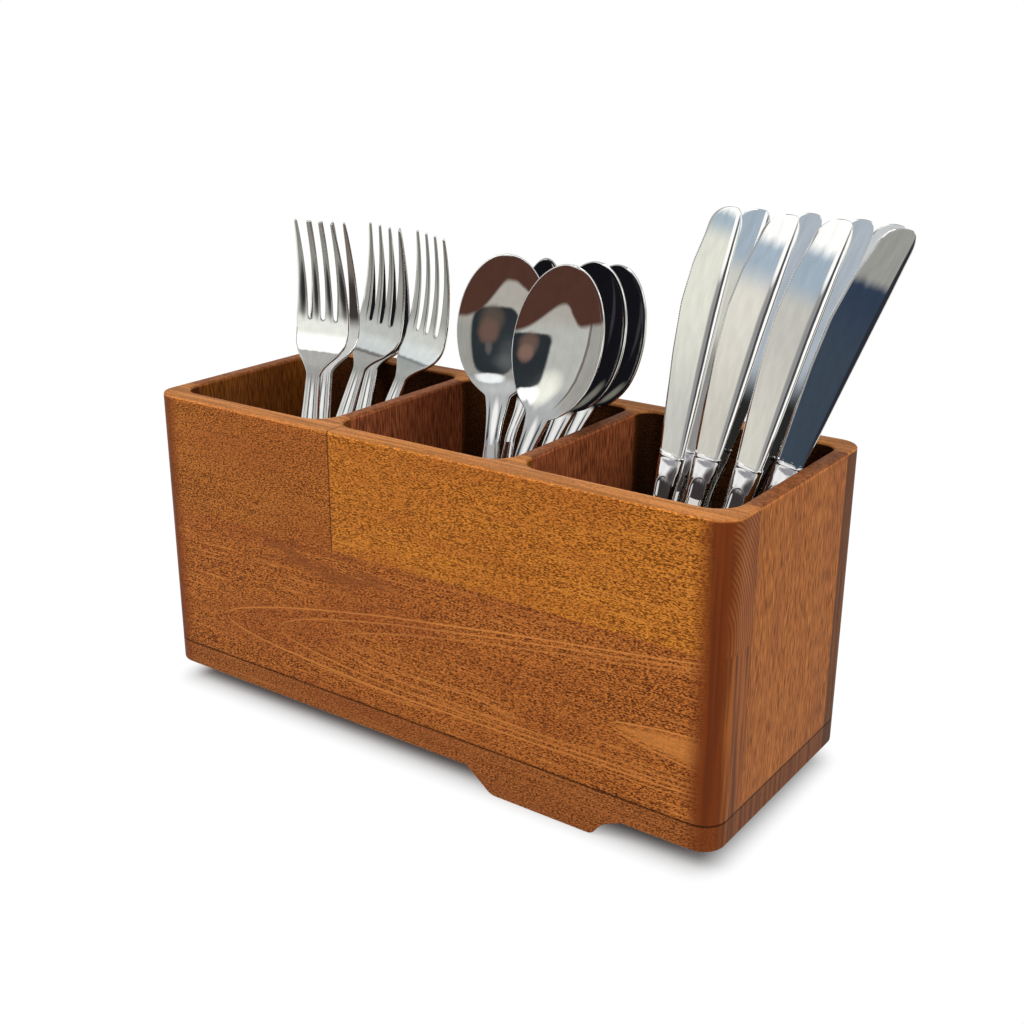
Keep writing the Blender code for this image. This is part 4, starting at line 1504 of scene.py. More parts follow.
@dataclass
class Fork(Cutlery):
    """Table fork: set-back neck, curved head and four tapering tines."""

    kind: str = "fork"
    length: float = 0.2032
    lean_thickness: float = 0.0022
    handle_width: float = 0.0160
    head_width: float = 0.0255
    head_length: float = 0.0483
    shoulder_length: float = 0.0110
    neck_length: float = 0.0199
    neck_start: float = 0.1350
    neck_power: float = 1.5
    crown: float = 0.00018
    dip: float = 0.0070
    tine_radius: float = 0.0713
    head_rise_share: float = 0.164
    root_above_head: float = 0.0050
    slot_pitch: float = 0.0061
    tip_pitch: float = 0.0055
    slot_width: float = 0.0021
    tip_slot_width: float = 0.0040
    tine_point: float = 0.0030
    tip_round: float = 0.0010
    handle_shares: tuple[Pair, ...] = ((0.0, 1.0), (0.15, 1.0), (0.44, 0.85), (0.84, 0.575), (1.0, 0.425))
    head_shares: tuple[Pair, ...] = ((0.0, 0.74), (0.08, 0.94), (0.17, 1.0), (0.30, 1.0), (1.0, 0.714))
    floor_shares: tuple[Pair, ...] = (
        (0.655, 0.030), (0.670, 0.070), (0.350, 0.225), (0.570, 0.310), (0.540, 0.230),
    )
    rim_shares: tuple[Pair, ...] = (
        (0.645, 0.280), (0.515, 0.490), (0.495, 0.760), (0.415, 0.955), (0.780, 0.780),
    )
    turns: tuple[float, ...] = (22.0, 21.5, 6.5, 13.0, -4.0)
    edge_radius: float = 0.0009
    thicknesses: tuple[float, ...] = (0.0022, 0.0023, 0.0020, 0.0014)
    sheet_gap: float = 0.0021
    # Painted reflections on the handle: bright and dark zones.
    handle_reflections: tuple[Zone, ...] = (
        Zone((-0.62, -0.80), (0.16, 0.34), (1.20, 1.20, 1.20), 4.0, 0.8),
        Zone((0.02, -0.86), (0.20, 0.34), (1.25, 1.25, 1.25), 4.0, 0.8),
        Zone((0.66, -0.78), (0.14, 0.34), (0.95, 0.95, 0.93), 4.0, 0.8),
        Zone((-0.30, -0.66), (0.09, 0.24), (0.16, 0.16, 0.17), 3.0, 0.8),
        Zone((0.36, -0.66), (0.09, 0.24), (0.13, 0.13, 0.14), 3.0, 0.8),
    )
    tine_shadows: tuple[Zone, ...] = tuple(
        Zone((tine, 0.385), (0.17, 0.245), (0.045, 0.042, 0.048), 2.0, 0.9)
        for tine in (-0.76, -0.22, 0.32, 0.86)
    )
    # Painted dark reflections along the right edges of the tines.
    dark_tine_edge_reflections: tuple[Zone, ...] = tuple(
        Zone((tine, 0.56), (0.05, 0.44), (0.090, 0.088, 0.088), 4.0, 0.8)
        for tine in (-0.68, -0.14, 0.40, 0.98)
    )
    # Painted reflections: each fork's sheet glows with the light, dark and white zones its handle, neck and
    # head show.
    sheets: tuple[Sheet, ...] = (
        Sheet(1, (0.72, 0.72, 0.72), (
            Step(-0.46, (0.50, 0.50, 0.49), 0.12),
            *handle_reflections,
            Step(-0.190, (1.60, 1.60, 1.58), 0.015),
            Step(-0.030, (1.25, 1.27, 1.20), 0.060),
            Step(0.130, (0.62, 0.62, 0.60), 0.10),
            Step(0.300, (0.44, 0.44, 0.42), 0.12),
            *tine_shadows,
            Step(0.700, (0.36, 0.36, 0.34), 0.20),
        )),
        Sheet(2, (0.85, 0.85, 0.85), (
            *handle_reflections,
            Step(0.10, (0.070, 0.060, 0.055), 0.16),
            Step(0.52, (0.26, 0.22, 0.20), 0.20),
        )),
        Sheet(3, (0.70, 0.70, 0.70), (
            Step(-0.46, (0.50, 0.51, 0.49), 0.12),
            *handle_reflections,
            Step(-0.235, (0.26, 0.25, 0.24), 0.020),
            Step(-0.200, (0.88, 0.94, 0.95), 0.030),
            Step(-0.060, (0.76, 0.79, 0.77), 0.14),
            Step(0.160, (0.50, 0.50, 0.48), 0.20),
            Step(0.600, (0.34, 0.34, 0.32), 0.30),
            *dark_tine_edge_reflections,
        )),
        Sheet(4, (0.60, 0.60, 0.60), (*handle_reflections, Step(-0.24, (0.012, 0.012, 0.016), 0.10))),
        Sheet(5, (0.70, 0.70, 0.70), (
            Step(-0.46, (0.50, 0.52, 0.51), 0.12),
            *handle_reflections,
            Step(-0.215, (0.32, 0.36, 0.37), 0.020),
            Step(-0.185, (1.02, 1.09, 1.11), 0.030),
            Step(-0.030, (0.90, 0.93, 0.89), 0.14),
            Step(0.160, (0.54, 0.54, 0.52), 0.20),
            Step(0.600, (0.36, 0.36, 0.34), 0.30),
            *dark_tine_edge_reflections,
        )),
    )

    @property
    def head(self) -> float:
        """Distance at which the head starts."""
        return self.length - self.head_length

    @property
    def root(self) -> float:
        """Distance of the bottom of the slots."""
        return self.head + self.root_above_head

    def half_width(self, distance: np.ndarray) -> np.ndarray:
        """Half of the overall width: handle, neck that widens as a power, and head with its shoulders."""
        waist = self.handle_shares[-1][1] * self.handle_width / 2
        outline_length = self.head_length + self.shoulder_length
        shoulder = self.length - outline_length
        places = [shoulder + share * outline_length for share, _ in self.head_shares]
        halves = [share * self.head_width / 2 for _, share in self.head_shares]
        fine = np.linspace(self.neck_start, self.length, 700)
        share = np.clip((fine - self.neck_start) / (shoulder - self.neck_start), 0, 1)
        neck = waist + (halves[0] - waist) * share ** self.neck_power
        rough = np.where(fine < shoulder, neck, np.interp(fine, places, halves))
        half = np.interp(distance, fine, evened(rough, EVENING_WINDOW))
        return np.where(distance < self.neck_start, self.handle_half(distance), half)

    def forward(self, distance: np.ndarray) -> np.ndarray:
        """How far the middle surface stands forward: the set-back, then a rise and a circle's sag."""
        past = np.clip(distance - self.head, 0, None)
        rise = self.head_rise_share * past * smooth_share(past, 0.0, 0.004)
        return self.set_back(distance) + rise + past ** 2 / (2 * self.tine_radius)

    def lean(self, distance: np.ndarray) -> np.ndarray:
        """How steeply the middle surface comes forward along the fork."""
        return (self.forward(distance + SMALL_STEP) - self.forward(distance)) / SMALL_STEP

    def tine_columns(self) -> tuple[np.ndarray, np.ndarray]:
        """Number of the strip that each column is in, tine and slot by turns, and its place in the strip."""
        tine = np.array([0.0, 0.03, 0.09, 0.19, 0.33, 0.5, 0.67, 0.81, 0.91, 0.97])
        slot = np.array([0.0, 0.25, 0.5, 0.75])
        parts = [tine, slot] * 3 + [tine]
        strips = [np.stack([np.full(len(part), number), part]) for number, part in enumerate(parts)]
        columns = np.concatenate(strips + [np.array([[6.0], [1.0]])], axis=1)
        return columns[0], columns[1]

    def strip_edges(self, strip: np.ndarray, distance: np.ndarray) -> tuple[np.ndarray, np.ndarray]:
        """Left and right edge of a strip at a distance.

        Slot middles are at -pitch, 0 and pitch, and a tine lies between its slots. Near the tip a tine
        draws in about its middle.

        Args:
            strip: Number of the strip, even for a tine.
            distance: Distance along the fork.

        Returns:
            The two edges.
        """
        half = self.half_width(distance)
        reach = np.clip((distance - self.root) / (self.length - self.root), 0, 1)
        pitch = self.slot_pitch + (self.tip_pitch - self.slot_pitch) * reach
        slot = (self.slot_width + (self.tip_slot_width - self.slot_width) * reach) / 2
        shrink = np.where(distance < self.root, half / self.half_width(np.array(self.root)), 1.0)
        pitch, slot = pitch * shrink, slot * shrink
        tine = strip / 2
        middle_before = (tine - 2) * pitch
        middle_after = (tine - 1) * pitch
        left = np.where(strip == 0, -half, middle_before + slot)
        right = np.where(strip == 6, half, middle_after - slot)
        slot_middle = (np.floor(tine) - 1) * pitch
        is_slot = strip % 2 == 1
        left = np.where(is_slot, slot_middle - slot, left)
        right = np.where(is_slot, slot_middle + slot, right)
        blunt = np.clip((self.length - distance) / (2 * self.tine_point), 0, 1)
        keep = 0.55 + 0.45 * np.sqrt(1 - (1 - blunt) ** 2)
        middle = (left + right) / 2
        keep = np.where(is_slot, 1.0, keep)
        return middle + (left - middle) * keep, middle + (right - middle) * keep

    def rows(self, strip: np.ndarray, place: np.ndarray) -> np.ndarray:
        """Grid of distances along the fork, bent round the bottoms of the slots and the tips of the tines.

        Args:
            strip: Strip of each column.
            place: Place of each column in its strip.

        Returns:
            Distances, rows along the fork and columns across it.
        """
        bow = 1 - np.sqrt(1 - (2 * place - 1) ** 2)
        is_slot = strip % 2 == 1
        root = self.root + self.slot_width / 2 * np.where(is_slot, bow, 1.0)
        tip = self.length - self.tip_round * np.where(is_slot, 0.0, bow)
        level = self.handle_levels((self.neck_start - 0.014, 26), (self.head + 0.001, 52))
        low = np.broadcast_to(level[:, None], (len(level), len(strip)))
        share = (1 - (1 - np.linspace(0.0, 1.0, SHOULDER_ROWS + 1)[1:]) ** 2)[:, None]
        shoulder = low[-1] + (root - low[-1]) * share
        share = (1 - (1 - np.linspace(0.0, 1.0, TINE_ROWS + 1)[1:]) ** 1.8)[:, None]
        tines = root + (tip - root) * share
        return np.concatenate([low, shoulder, tines])

    def sheet_grid(self) -> tuple[Points, Points]:
        """Points and shares of a sheet before the head, the neck and the top of the handle."""
        shares = np.stack(np.meshgrid(np.linspace(-1.03, 1.03, 25), np.linspace(-1.05, 1.02, 100)), axis=-1)
        distance = self.head + shares[..., 1] * self.head_length
        across = shares[..., 0] * self.half_width(np.minimum(distance, self.length))
        lean = self.lean(distance)
        gap = self.sheet_gap / np.sqrt(1 + lean ** 2)
        return np.stack([across, -self.forward(distance) - gap, distance - gap * lean], axis=-1), shares

    def build(self, material: bpy.types.Material) -> None:
        """Make the five forks.

        A place across goes over from its share of the handle to its place in a tine or slot. The edges are
        rounded by the distance to the nearest side, slot or tip.

        Args:
            material: Their finish.
        """
        strip, place = self.tine_columns()
        distance = self.rows(strip, place)
        left, right = self.strip_edges(strip, distance)
        half = self.half_width(distance)
        handle_x = half * both_sides((0.30, 6), (0.66, 13), rim_steps=10)
        head_x = left + (right - left) * place
        across = handle_x + (head_x - handle_x) * smooth_share(distance, self.neck_start, self.head)
        slot_half = self.slot_width / 2
        centre = self.root + slot_half
        below = np.clip(centre - distance, 0, None)[..., None]
        slot_middles = self.slot_pitch * np.array([-1.0, 0.0, 1.0])
        to_slots = np.hypot(across[..., None] - slot_middles, below) - slot_half
        slope = (self.half_width(distance + SMALL_STEP) - half) / SMALL_STEP
        to_side = (half - np.abs(across)) / np.sqrt(1 + slope ** 2)
        in_strip = 2 * place - 1
        to_edge = (right - left) / 2 * (1 - np.abs(in_strip))
        to_tip = self.length - self.tip_round * (1 - np.sqrt(1 - in_strip ** 2)) - distance
        past_root = distance > centre
        inset = np.where(past_root, np.minimum(to_edge, to_tip), np.minimum(to_side, to_slots.min(-1)))
        inset = np.clip(inset, 0, None)
        radius = np.where(past_root, np.minimum(self.edge_radius, (right - left) / 2), self.edge_radius)
        thickness = np.interp(distance, [0.0, self.neck_start, self.head, self.length], self.thicknesses)
        plain = thickness / 2 * rounded_edge(inset, radius)
        on_tine = smooth_share(distance, self.root - 0.002, self.root + 0.010) * (strip % 2 == 0)
        plain = plain - self.crown * on_tine * in_strip ** 2
        ribs = self.ribs(np.abs(across) / np.maximum(half, SMALL_STEP), distance, inset, 0.010)
        lean = self.lean(distance)
        middle = np.stack([across, -self.forward(distance), distance], axis=-1)
        valid = np.ones((distance.shape[0] - 1, distance.shape[1] - 1), bool)
        valid[-TINE_ROWS:, strip[:-1] % 2 == 1] = False
        points, quads = shell(middle, front_normals(np.zeros_like(lean), lean), plain + ribs, plain, valid)
        self.place_all(points, quads, middle.reshape(-1, 3), material)
        self.place_sheets(*self.sheet_grid(), middle.reshape(-1, 3))


SHOULDER_ROWS = 10
TINE_ROWS = 43


@dataclass
class Spoon(Cutlery):
    """Table spoon: dished bowl that runs into a slender neck."""

    kind: str = "spoon"
    length: float = 0.1994
    lean_thickness: float = 0.0022
    handle_width: float = 0.0164
    bowl_length: float = 0.0644
    bowl_width: float = 0.0428
    bowl_depth: float = 0.0085
    neck_length: float = 0.0219
    neck_start: float = 0.1131
    dip: float = 0.0030
    bowl_rise_share: float = 0.05
    dish_power: float = 0.8
    neck_dish_power: float = 1.7
    neck_dish_end: float = -0.35
    fillet: float = 0.0034
    edge_radius: float = 0.0008
    thicknesses: tuple[float, ...] = (0.0022, 0.0025, 0.0024, 0.0015, 0.0014)
    handle_shares: tuple[Pair, ...] = ((0.0, 1.0), (0.18, 1.0), (0.53, 0.85), (0.88, 0.585), (1.0, 0.44))
    floor_shares: tuple[Pair, ...] = (
        (0.630, 0.230), (0.580, 0.155), (0.530, 0.290), (0.485, 0.480), (0.340, 0.840),
    )
    rim_shares: tuple[Pair, ...] = (
        (0.415, 0.680), (0.865, 0.360), (0.425, 0.855), (0.860, 0.575), (0.830, 0.810),
    )
    turns: tuple[float, ...] = (18.5, -2.0, -24.5, -12.5, -17.5)
    sheet_gap: float = 0.0016
    # Painted reflections on the neck: a white zone between two dark ones.
    neck_reflections: tuple[Zone, ...] = (
        Zone((0.0, -0.18), (0.30, 0.16), (1.25, 1.25, 1.25), 2.0, 0.6),
        Zone((-0.62, -0.22), (0.12, 0.17), (0.06, 0.06, 0.07), 2.0, 0.6),
        Zone((0.50, -0.22), (0.10, 0.17), (0.10, 0.10, 0.11), 2.0, 0.6),
    )
    # Painted reflections: each spoon's sheet glows with the window, box, white band and shade its bowl shows;
    # the hidden spoons' sheets are painted shade black.
    sheets: tuple[Sheet, ...] = (
        Sheet(1, (0.62, 0.64, 0.66), (
            *neck_reflections,
            Step(0.13, (0.46, 0.46, 0.43), 0.05),
            Step(0.56, (0.62, 0.59, 0.54), 0.20),
            Zone((-0.245, 0.410), (0.505, 0.240), (0.034, 0.044, 0.052), 5.0, 0.30),
            Zone((-0.34, 0.565), (0.24, 0.090), (0.135, 0.105, 0.085), 2.0, 0.9),
            Zone((-0.40, 0.480), (0.20, 0.085), (0.220, 0.130, 0.105), 2.0, 0.9),
            Zone((-0.39, 0.365), (0.07, 0.050), (0.150, 0.140, 0.140), 2.0, 0.9),
            Zone((-0.33, 0.135), (0.42, 0.034), (1.35, 1.40, 1.44), 3.0, 0.9),
            Arch(0.04, 0.560, 0.275, (0.55, 0.75), (0.118, 0.052, 0.038)),
        )),
        Sheet(2, (0.62, 0.64, 0.66), (
            *neck_reflections,
            Step(0.16, (0.70, 0.71, 0.68), 0.08),
            Step(0.62, (0.62, 0.59, 0.54), 0.15),
            Zone((0.90, 0.42), (0.40, 0.40), (0.50, 0.49, 0.46), 4.0, 0.5),
            Zone((-0.14, 0.19), (0.32, 0.110), (1.20, 1.22, 1.10), 2.0, 0.9),
            Zone((0.49, 0.40), (0.035, 0.34), (0.26, 0.23, 0.20), 4.0, 0.8),
            Zone((-0.92, 0.372), (0.588, 0.175), (0.034, 0.042, 0.050), 7.0, 0.40),
            Zone((-0.74, 0.475), (0.16, 0.075), (0.200, 0.130, 0.105), 2.0, 0.9),
            Zone((-0.77, 0.415), (0.13, 0.055), (0.330, 0.200, 0.160), 2.0, 0.9),
            Zone((-0.70, 0.168), (0.30, 0.034), (1.75, 1.80, 1.85), 3.0, 0.9),
            Zone((-0.44, 0.150), (0.16, 0.050), (1.60, 1.65, 1.60), 2.0, 0.9),
            Arch(-0.25, 0.594, 0.172, (0.46, 0.28), (0.118, 0.052, 0.038), 0.05),
        ), -0.09),
        Sheet(3, (0.95, 0.95, 0.95), (*neck_reflections, Step(-0.02, PAINTED_SHADE_BLACK))),
        Sheet(4, (0.95, 0.95, 0.95), (
            *neck_reflections,
            Step(-0.02, PAINTED_SHADE_BLACK),
            Zone((0.30, 0.72), (0.05, 0.20), (0.05, 0.05, 0.06), 2.0, 0.9),
            Zone((0.66, 0.14), (0.12, 0.12), (0.24, 0.24, 0.20), 2.0, 0.9),
            Zone((0.72, 0.62), (0.04, 0.24), (0.06, 0.06, 0.07), 2.0, 0.9),
        )),
        Sheet(5, (0.95, 0.95, 0.95), (
            *neck_reflections,
            Step(-0.02, PAINTED_SHADE_BLACK),
            Zone((0.45, 0.66), (0.05, 0.22), (0.05, 0.05, 0.06), 2.0, 0.9),
            Zone((0.72, 0.15), (0.11, 0.10), (0.24, 0.24, 0.20), 2.0, 0.9),
        )),
    )

    @property
    def bowl(self) -> float:
        """Distance at which the bowl starts."""
        return self.length - self.bowl_length

    def half_width(self, distance: np.ndarray) -> np.ndarray:
        """Half width: handle, neck that widens as a square, and an ellipse, with a fillet between.

        The fillet is the mean of the two widths plus half the root of their difference squared plus the
        fillet squared, and it fades out along the first third of the bowl.
        """
        waist = self.handle_shares[-1][1] * self.handle_width / 2
        share = np.clip((distance - self.neck_start) / self.neck_length, 0, None)
        neck = waist * (1 + np.clip(share, 0, 1) ** 2 / 2) - np.clip(distance - self.bowl, 0, None)
        across = np.clip(2 * (distance - self.bowl) / self.bowl_length - 1, -1, 1)
        oval = self.bowl_width / 2 * np.sqrt(1 - across ** 2)
        oval = np.where(distance < self.bowl, -(self.bowl - distance), oval)
        fade = smooth_share(distance, self.neck_start, self.bowl)
        fade = fade * (1 - smooth_share(distance, self.bowl, self.bowl + self.bowl_length / 3))
        fillet = self.fillet * fade
        joined = (neck + oval + np.sqrt((neck - oval) ** 2 + fillet ** 2)) / 2
        return np.where(distance < self.neck_start, self.handle_half(distance), joined)

    def forward(self, across: np.ndarray, distance: np.ndarray) -> np.ndarray:
        """How far the middle surface stands forward.

        The neck is set back by a cosine. In the bowl, the rim rises steadily and the dish goes back by its
        depth times (1 - along squared - across squared) to a power, which is higher near the neck so that
        the dish starts gently there.
        """
        along = 2 * (distance - self.bowl) / self.bowl_length - 1
        inside = np.clip(1 - np.clip(along, -1, 1) ** 2 - (2 * across / self.bowl_width) ** 2, 0, 1)
        inside = np.where(along < -1, 0.0, inside)
        near_neck = 1 - smooth_share(along, -1.0, self.neck_dish_end)
        power = self.dish_power + (self.neck_dish_power - self.dish_power) * near_neck
        rise = self.bowl_rise_share * np.clip(distance - self.bowl, 0, None)
        return self.set_back(distance) + rise - self.bowl_depth * inside ** power

    def build(self, material: bpy.types.Material) -> None:
        """Make the five spoons.

        Args:
            material: Their finish.
        """
        rim = self.bowl + 0.004
        level = self.handle_levels((self.neck_start - 0.014, 22), (rim, 46))
        up_bowl = rim + (self.bowl_length - 0.004) * np.sin(np.linspace(0.0, math.pi / 2, 88))
        level = np.concatenate([level, up_bowl[1:]])
        columns = both_sides((0.90, 31), rim_steps=10)
        distance = np.broadcast_to(level[:, None], (len(level), len(columns)))
        half = self.half_width(distance)
        across = half * columns
        slope = self.half_width(distance + SMALL_STEP) - self.half_width(distance - SMALL_STEP)
        slope = np.where(half > SMALL_STEP, slope / (2 * SMALL_STEP), 0.0)
        inset = np.clip((half - np.abs(across)) / np.sqrt(1 + slope ** 2), 0, None)
        places = [0.0, self.neck_start, self.bowl, self.bowl + 0.012, self.length]
        plain = np.interp(distance, places, self.thicknesses) / 2 * rounded_edge(inset, self.edge_radius)
        ribs = self.ribs(np.abs(columns) + 0 * half, distance, inset, 0.008)
        middle, normals = self.middle_surface(across, distance)
        points, quads = shell(middle, normals, plain + ribs, plain)
        self.place_all(points, quads, middle.reshape(-1, 3), material)
        shares = np.stack(np.meshgrid(np.linspace(-1.01, 1.01, 41), np.linspace(-0.34, 0.998, 71)), axis=-1)
        distance = self.bowl + shares[..., 1] * self.bowl_length
        before, outward = self.middle_surface(shares[..., 0] * self.half_width(distance), distance)
        self.place_sheets(before + outward * self.sheet_gap, shares, middle.reshape(-1, 3))

    def middle_surface(self, across: np.ndarray, distance: np.ndarray) -> tuple[Points, Points]:
        """Middle surface and its forward normals, from how far it stands forward.

        Args:
            across: Places across.
            distance: Places along.

        Returns:
            Points and unit normals.
        """
        step = SMALL_STEP
        tilt = (self.forward(across + step, distance) - self.forward(across - step, distance)) / (2 * step)
        lean = (self.forward(across, distance + step) - self.forward(across, distance - step)) / (2 * step)
        normals = front_normals(np.clip(tilt, -STEEPEST, STEEPEST), np.clip(lean, -STEEPEST, STEEPEST))
        return np.stack([across, -self.forward(across, distance), distance], axis=-1), normals


STEEPEST = 1.6


@dataclass
class Knife(Cutlery):
    """Table knife: oval handle with an arched panel, a bolster, and a flat blade with a toothed edge."""

    kind: str = "knife"
    length: float = 0.2300
    blade_length: float = 0.1010
    handle_width: float = 0.0150
    handle_thickness: float = 0.0060
    blade_width: float = 0.0166
    blade_thickness: float = 0.0018
    bolster_length: float = 0.0060
    neck_start: float = 0.1290
    tooth_pitch: float = 0.0010
    tooth_depth: float = 0.00020
    blade_flat: float = 0.0020
    ground: float = 0.0011
    spine_sag: float = 0.00012
    spine_reach: float = 0.0026
    arris: float = 0.00036
    tip_length: float = 0.0086
    tip_middle_share: float = 0.22
    bolster_slope: float = 0.16
    tip_power: float = 2.4
    edge_thickness: float = 0.00020
    panel_depth: float = 0.00030
    line_height: float = 0.00034
    ridge_height: float = 0.00042
    hollow_depth: float = 0.00038
    handle_shares: tuple[Pair, ...] = (
        (0.0, 0.95), (0.23, 1.0), (0.62, 0.80), (0.845, 0.613), (0.95, 0.73), (1.0, 0.747),
    )
    blade_share_rows: tuple[Place, ...] = (
        (0.0, 0.35, 0.305),
        (0.015, 0.36, 0.31),
        (0.18, 0.46, 0.34),
        (0.40, 0.58, 0.36),
        (0.60, 0.63, 0.38),
        (0.76, 0.55, 0.40),
        (0.88, 0.40, 0.41),
        (0.945, 0.33, 0.42),
        (1.0, 0.28, 0.42),
    )
    floor_shares: tuple[Pair, ...] = (
        (0.200, 0.530), (0.225, 0.615), (0.425, 0.535), (0.425, 0.685),
        (0.110, 0.660), (0.135, 0.740), (0.310, 0.785), (0.360, 0.930),
    )
    rim_shares: tuple[Pair, ...] = (
        (0.495, 0.430), (0.605, 0.545), (0.815, 0.515), (0.915, 0.715),
        (0.475, 0.580), (0.565, 0.725), (0.760, 0.760), (0.845, 0.870),
    )
    turns: tuple[float, ...] = (-1.0, 17.5, 7.0, 19.5, 17.5, 17.5, 18.5, 14.0)
    sheet_gap: float = 0.0006
    handle_gap: float = 0.0036
    # Painted reflections on the handle and bolster.
    handle_reflections: tuple[Step | Zone, ...] = (
        Zone((-0.80, -0.16), (0.22, 0.08), (1.0, 1.0, 1.0), 4.0, 0.6),
        Step(-0.105, (1.25, 1.25, 1.27), 0.05),
        Zone((0.62, -0.085), (0.50, 0.045), (0.09, 0.08, 0.08), 2.0, 0.9),
        Zone((0.0, -0.030), (0.75, 0.017), (0.42, 0.42, 0.47), 2.0, 0.7),
    )
    # Painted reflections along the spine: grey shading, a dark line and white lines.
    spine_reflections: tuple[Zone, ...] = (
        Zone((0.66, 0.40), (0.16, 0.42), (0.42, 0.42, 0.43), 3.0, 0.9),
        Zone((0.60, 0.90), (0.10, 0.16), WHITE_GLOW, 3.0, 0.8),
        Zone((0.76, 0.50), (0.06, 0.49), (0.10, 0.10, 0.11), 4.0, 0.8),
        Zone((0.87, 0.50), (0.055, 0.49), WHITE_GLOW, 4.0, 0.8),
        Zone((0.98, 0.40), (0.05, 0.45), (0.16, 0.16, 0.17), 4.0, 0.8),
    )
    # Painted reflections: each knife's sheet glows with the pale, blue-grey and white zones its blade shows.
    sheets: tuple[Sheet, ...] = (
        Sheet(1, (0.06, 0.05, 0.05), (
            *handle_reflections,
            Step(0.0, (0.84, 0.84, 0.80), 0.006),
            Step(0.35, (1.14, 1.15, 1.04), 0.50),
            Step(0.900, (0.60, 0.74, 0.86), 0.09),
            Step(0.972, WHITE_GLOW, 0.04),
            *spine_reflections,
        )),
        Sheet(2, (0.06, 0.05, 0.05), (
            *handle_reflections,
            Step(0.0, (0.90, 0.87, 0.80), 0.006),
            Step(0.35, (1.10, 1.07, 0.98), 0.50),
            Step(0.735, (0.57, 0.70, 0.84), 0.14),
            Step(0.885, WHITE_GLOW, 0.06),
            *spine_reflections,
        )),
        Sheet(3, (0.06, 0.05, 0.05), (
            *handle_reflections,
            Step(0.0, (0.97, 0.95, 0.87), 0.006),
            Step(0.35, (0.82, 0.81, 0.76), 0.50),
            Step(0.690, (0.53, 0.66, 0.80), 0.12),
            Step(0.865, WHITE_GLOW, 0.07),
            *spine_reflections,
        )),
        Sheet(4, (0.06, 0.05, 0.05), (
            *handle_reflections,
            Step(0.0, (0.066, 0.092, 0.135), 0.006),
            Step(0.60, (0.046, 0.070, 0.128), 0.30),
            Step(0.770, (0.48, 0.48, 0.46), 0.05),
            Zone((-0.93, 0.45), (0.07, 0.45), (0.55, 0.56, 0.57), 4.0, 0.9),
            Zone((0.90, 0.55), (0.12, 0.50), (0.035, 0.040, 0.055), 4.0, 0.8),
        )),
        Sheet(5, (0.06, 0.05, 0.05), (
            *handle_reflections,
            Step(0.0, (0.40, 0.40, 0.40), 0.006),
            Step(0.45, (0.90, 0.90, 0.84), 0.20),
            Step(0.78, (0.55, 0.67, 0.80), 0.10),
            *spine_reflections,
        )),
        *(
            Sheet(number, (0.03, 0.03, 0.03), (
                Step(0.30, (0.62, 0.70, 0.80), 0.20),
                Zone((-0.75, 0.75), (0.25, 0.40), WHITE_GLOW, 3.0, 0.8),
            )) for number in (6, 7)
        ),
        Sheet(8, (0.03, 0.03, 0.03), (Step(0.30, (0.86, 0.90, 0.94), 0.20),)),
    )

    @property
    def shoulder(self) -> float:
        """Distance at which the blade starts."""
        return self.length - self.blade_length

    def edges(self, distance: np.ndarray) -> tuple[np.ndarray, np.ndarray]:
        """Cutting edge and spine at a distance, evened out through the blade's shares.

        The handle has both at its half width.

        Args:
            distance: Distance along the knife.

        Returns:
            Place across of the cutting edge and of the spine.
        """
        rows = np.array(self.blade_share_rows)
        fine = np.linspace(0.0, 1.0, 900)
        edge, spine = (
            evened(np.interp(fine, rows[:, 0], rows[:, column] * self.blade_width), BLADE_WINDOW)
            for column in (1, 2)
        )
        share = (distance - self.shoulder) / self.blade_length
        handle = self.handle_half(distance)
        low = np.where(share < 0, -handle, np.interp(share, fine, -edge))
        return low, np.where(share < 0, handle, np.interp(share, fine, spine))

    def half_thickness(
        self, across: np.ndarray, distance: np.ndarray, low: np.ndarray, high: np.ndarray
    ) -> np.ndarray:
        """Half of the thickness over the grid.

        The handle is an oval with an arched line pressed into it. The blade is flat, ground down to its
        edge on one side and chamfered to its spine on the other. The bolster is a ridge and a hollow.

        Args:
            across: Place across the knife.
            distance: Place along it.
            low: The cutting edge.
            high: The spine.

        Returns:
            Half thickness at each place.
        """
        half = np.maximum((high - low) / 2, SMALL_STEP)
        share = np.abs((across - (low + high) / 2) / half)
        plate = self.handle_thickness / 2 * (1 - np.clip(share, 0, 1) ** 2.6) ** 0.55
        plate = np.maximum(plate, 0.0005)
        end = np.sqrt(np.clip(1 - (1 - np.clip(distance / (self.handle_width / 2), 0, 1)) ** 2, 0.02, 1))
        arch_top = self.shoulder - 0.0150
        rise = np.clip((distance - arch_top) / 0.0060, 0, 1)
        arch = np.sqrt(np.clip(share ** 2 / 0.66 ** 2 + rise ** 2, 0, None))
        line = np.exp(-((arch - 1) / 0.085) ** 2) * (distance < arch_top + 0.0090)
        line = self.line_height * line * smooth_share(distance, 0.004, 0.012)
        panel = self.panel_depth * (1 - smooth_share(arch, 0.80, 1.0)) * (share < 1)
        handle = plate * end - panel + line
        flat = self.blade_flat / 2
        from_edge = np.clip(across - low, 0, None)
        from_spine = np.clip(high - across, 0, None)
        sag = self.spine_sag * (1 - np.clip(from_spine / self.spine_reach, 0, 1)) ** 2
        arris = self.arris * (1 - np.sqrt(1 - (1 - np.clip(from_spine / self.arris, 0, 1)) ** 2))
        keen = self.edge_thickness / 2
        edge = keen + (flat - keen) * np.clip(from_edge / self.ground, 0, 1) ** 0.8
        blade = np.minimum(edge, flat - sag - arris)
        blade = blade * (1 - 0.35 * smooth_share(distance, self.length - 0.040, self.length))
        neck = self.shoulder - self.bolster_length
        below = self.shoulder - distance - self.bolster_slope * (half - across) * 0.5
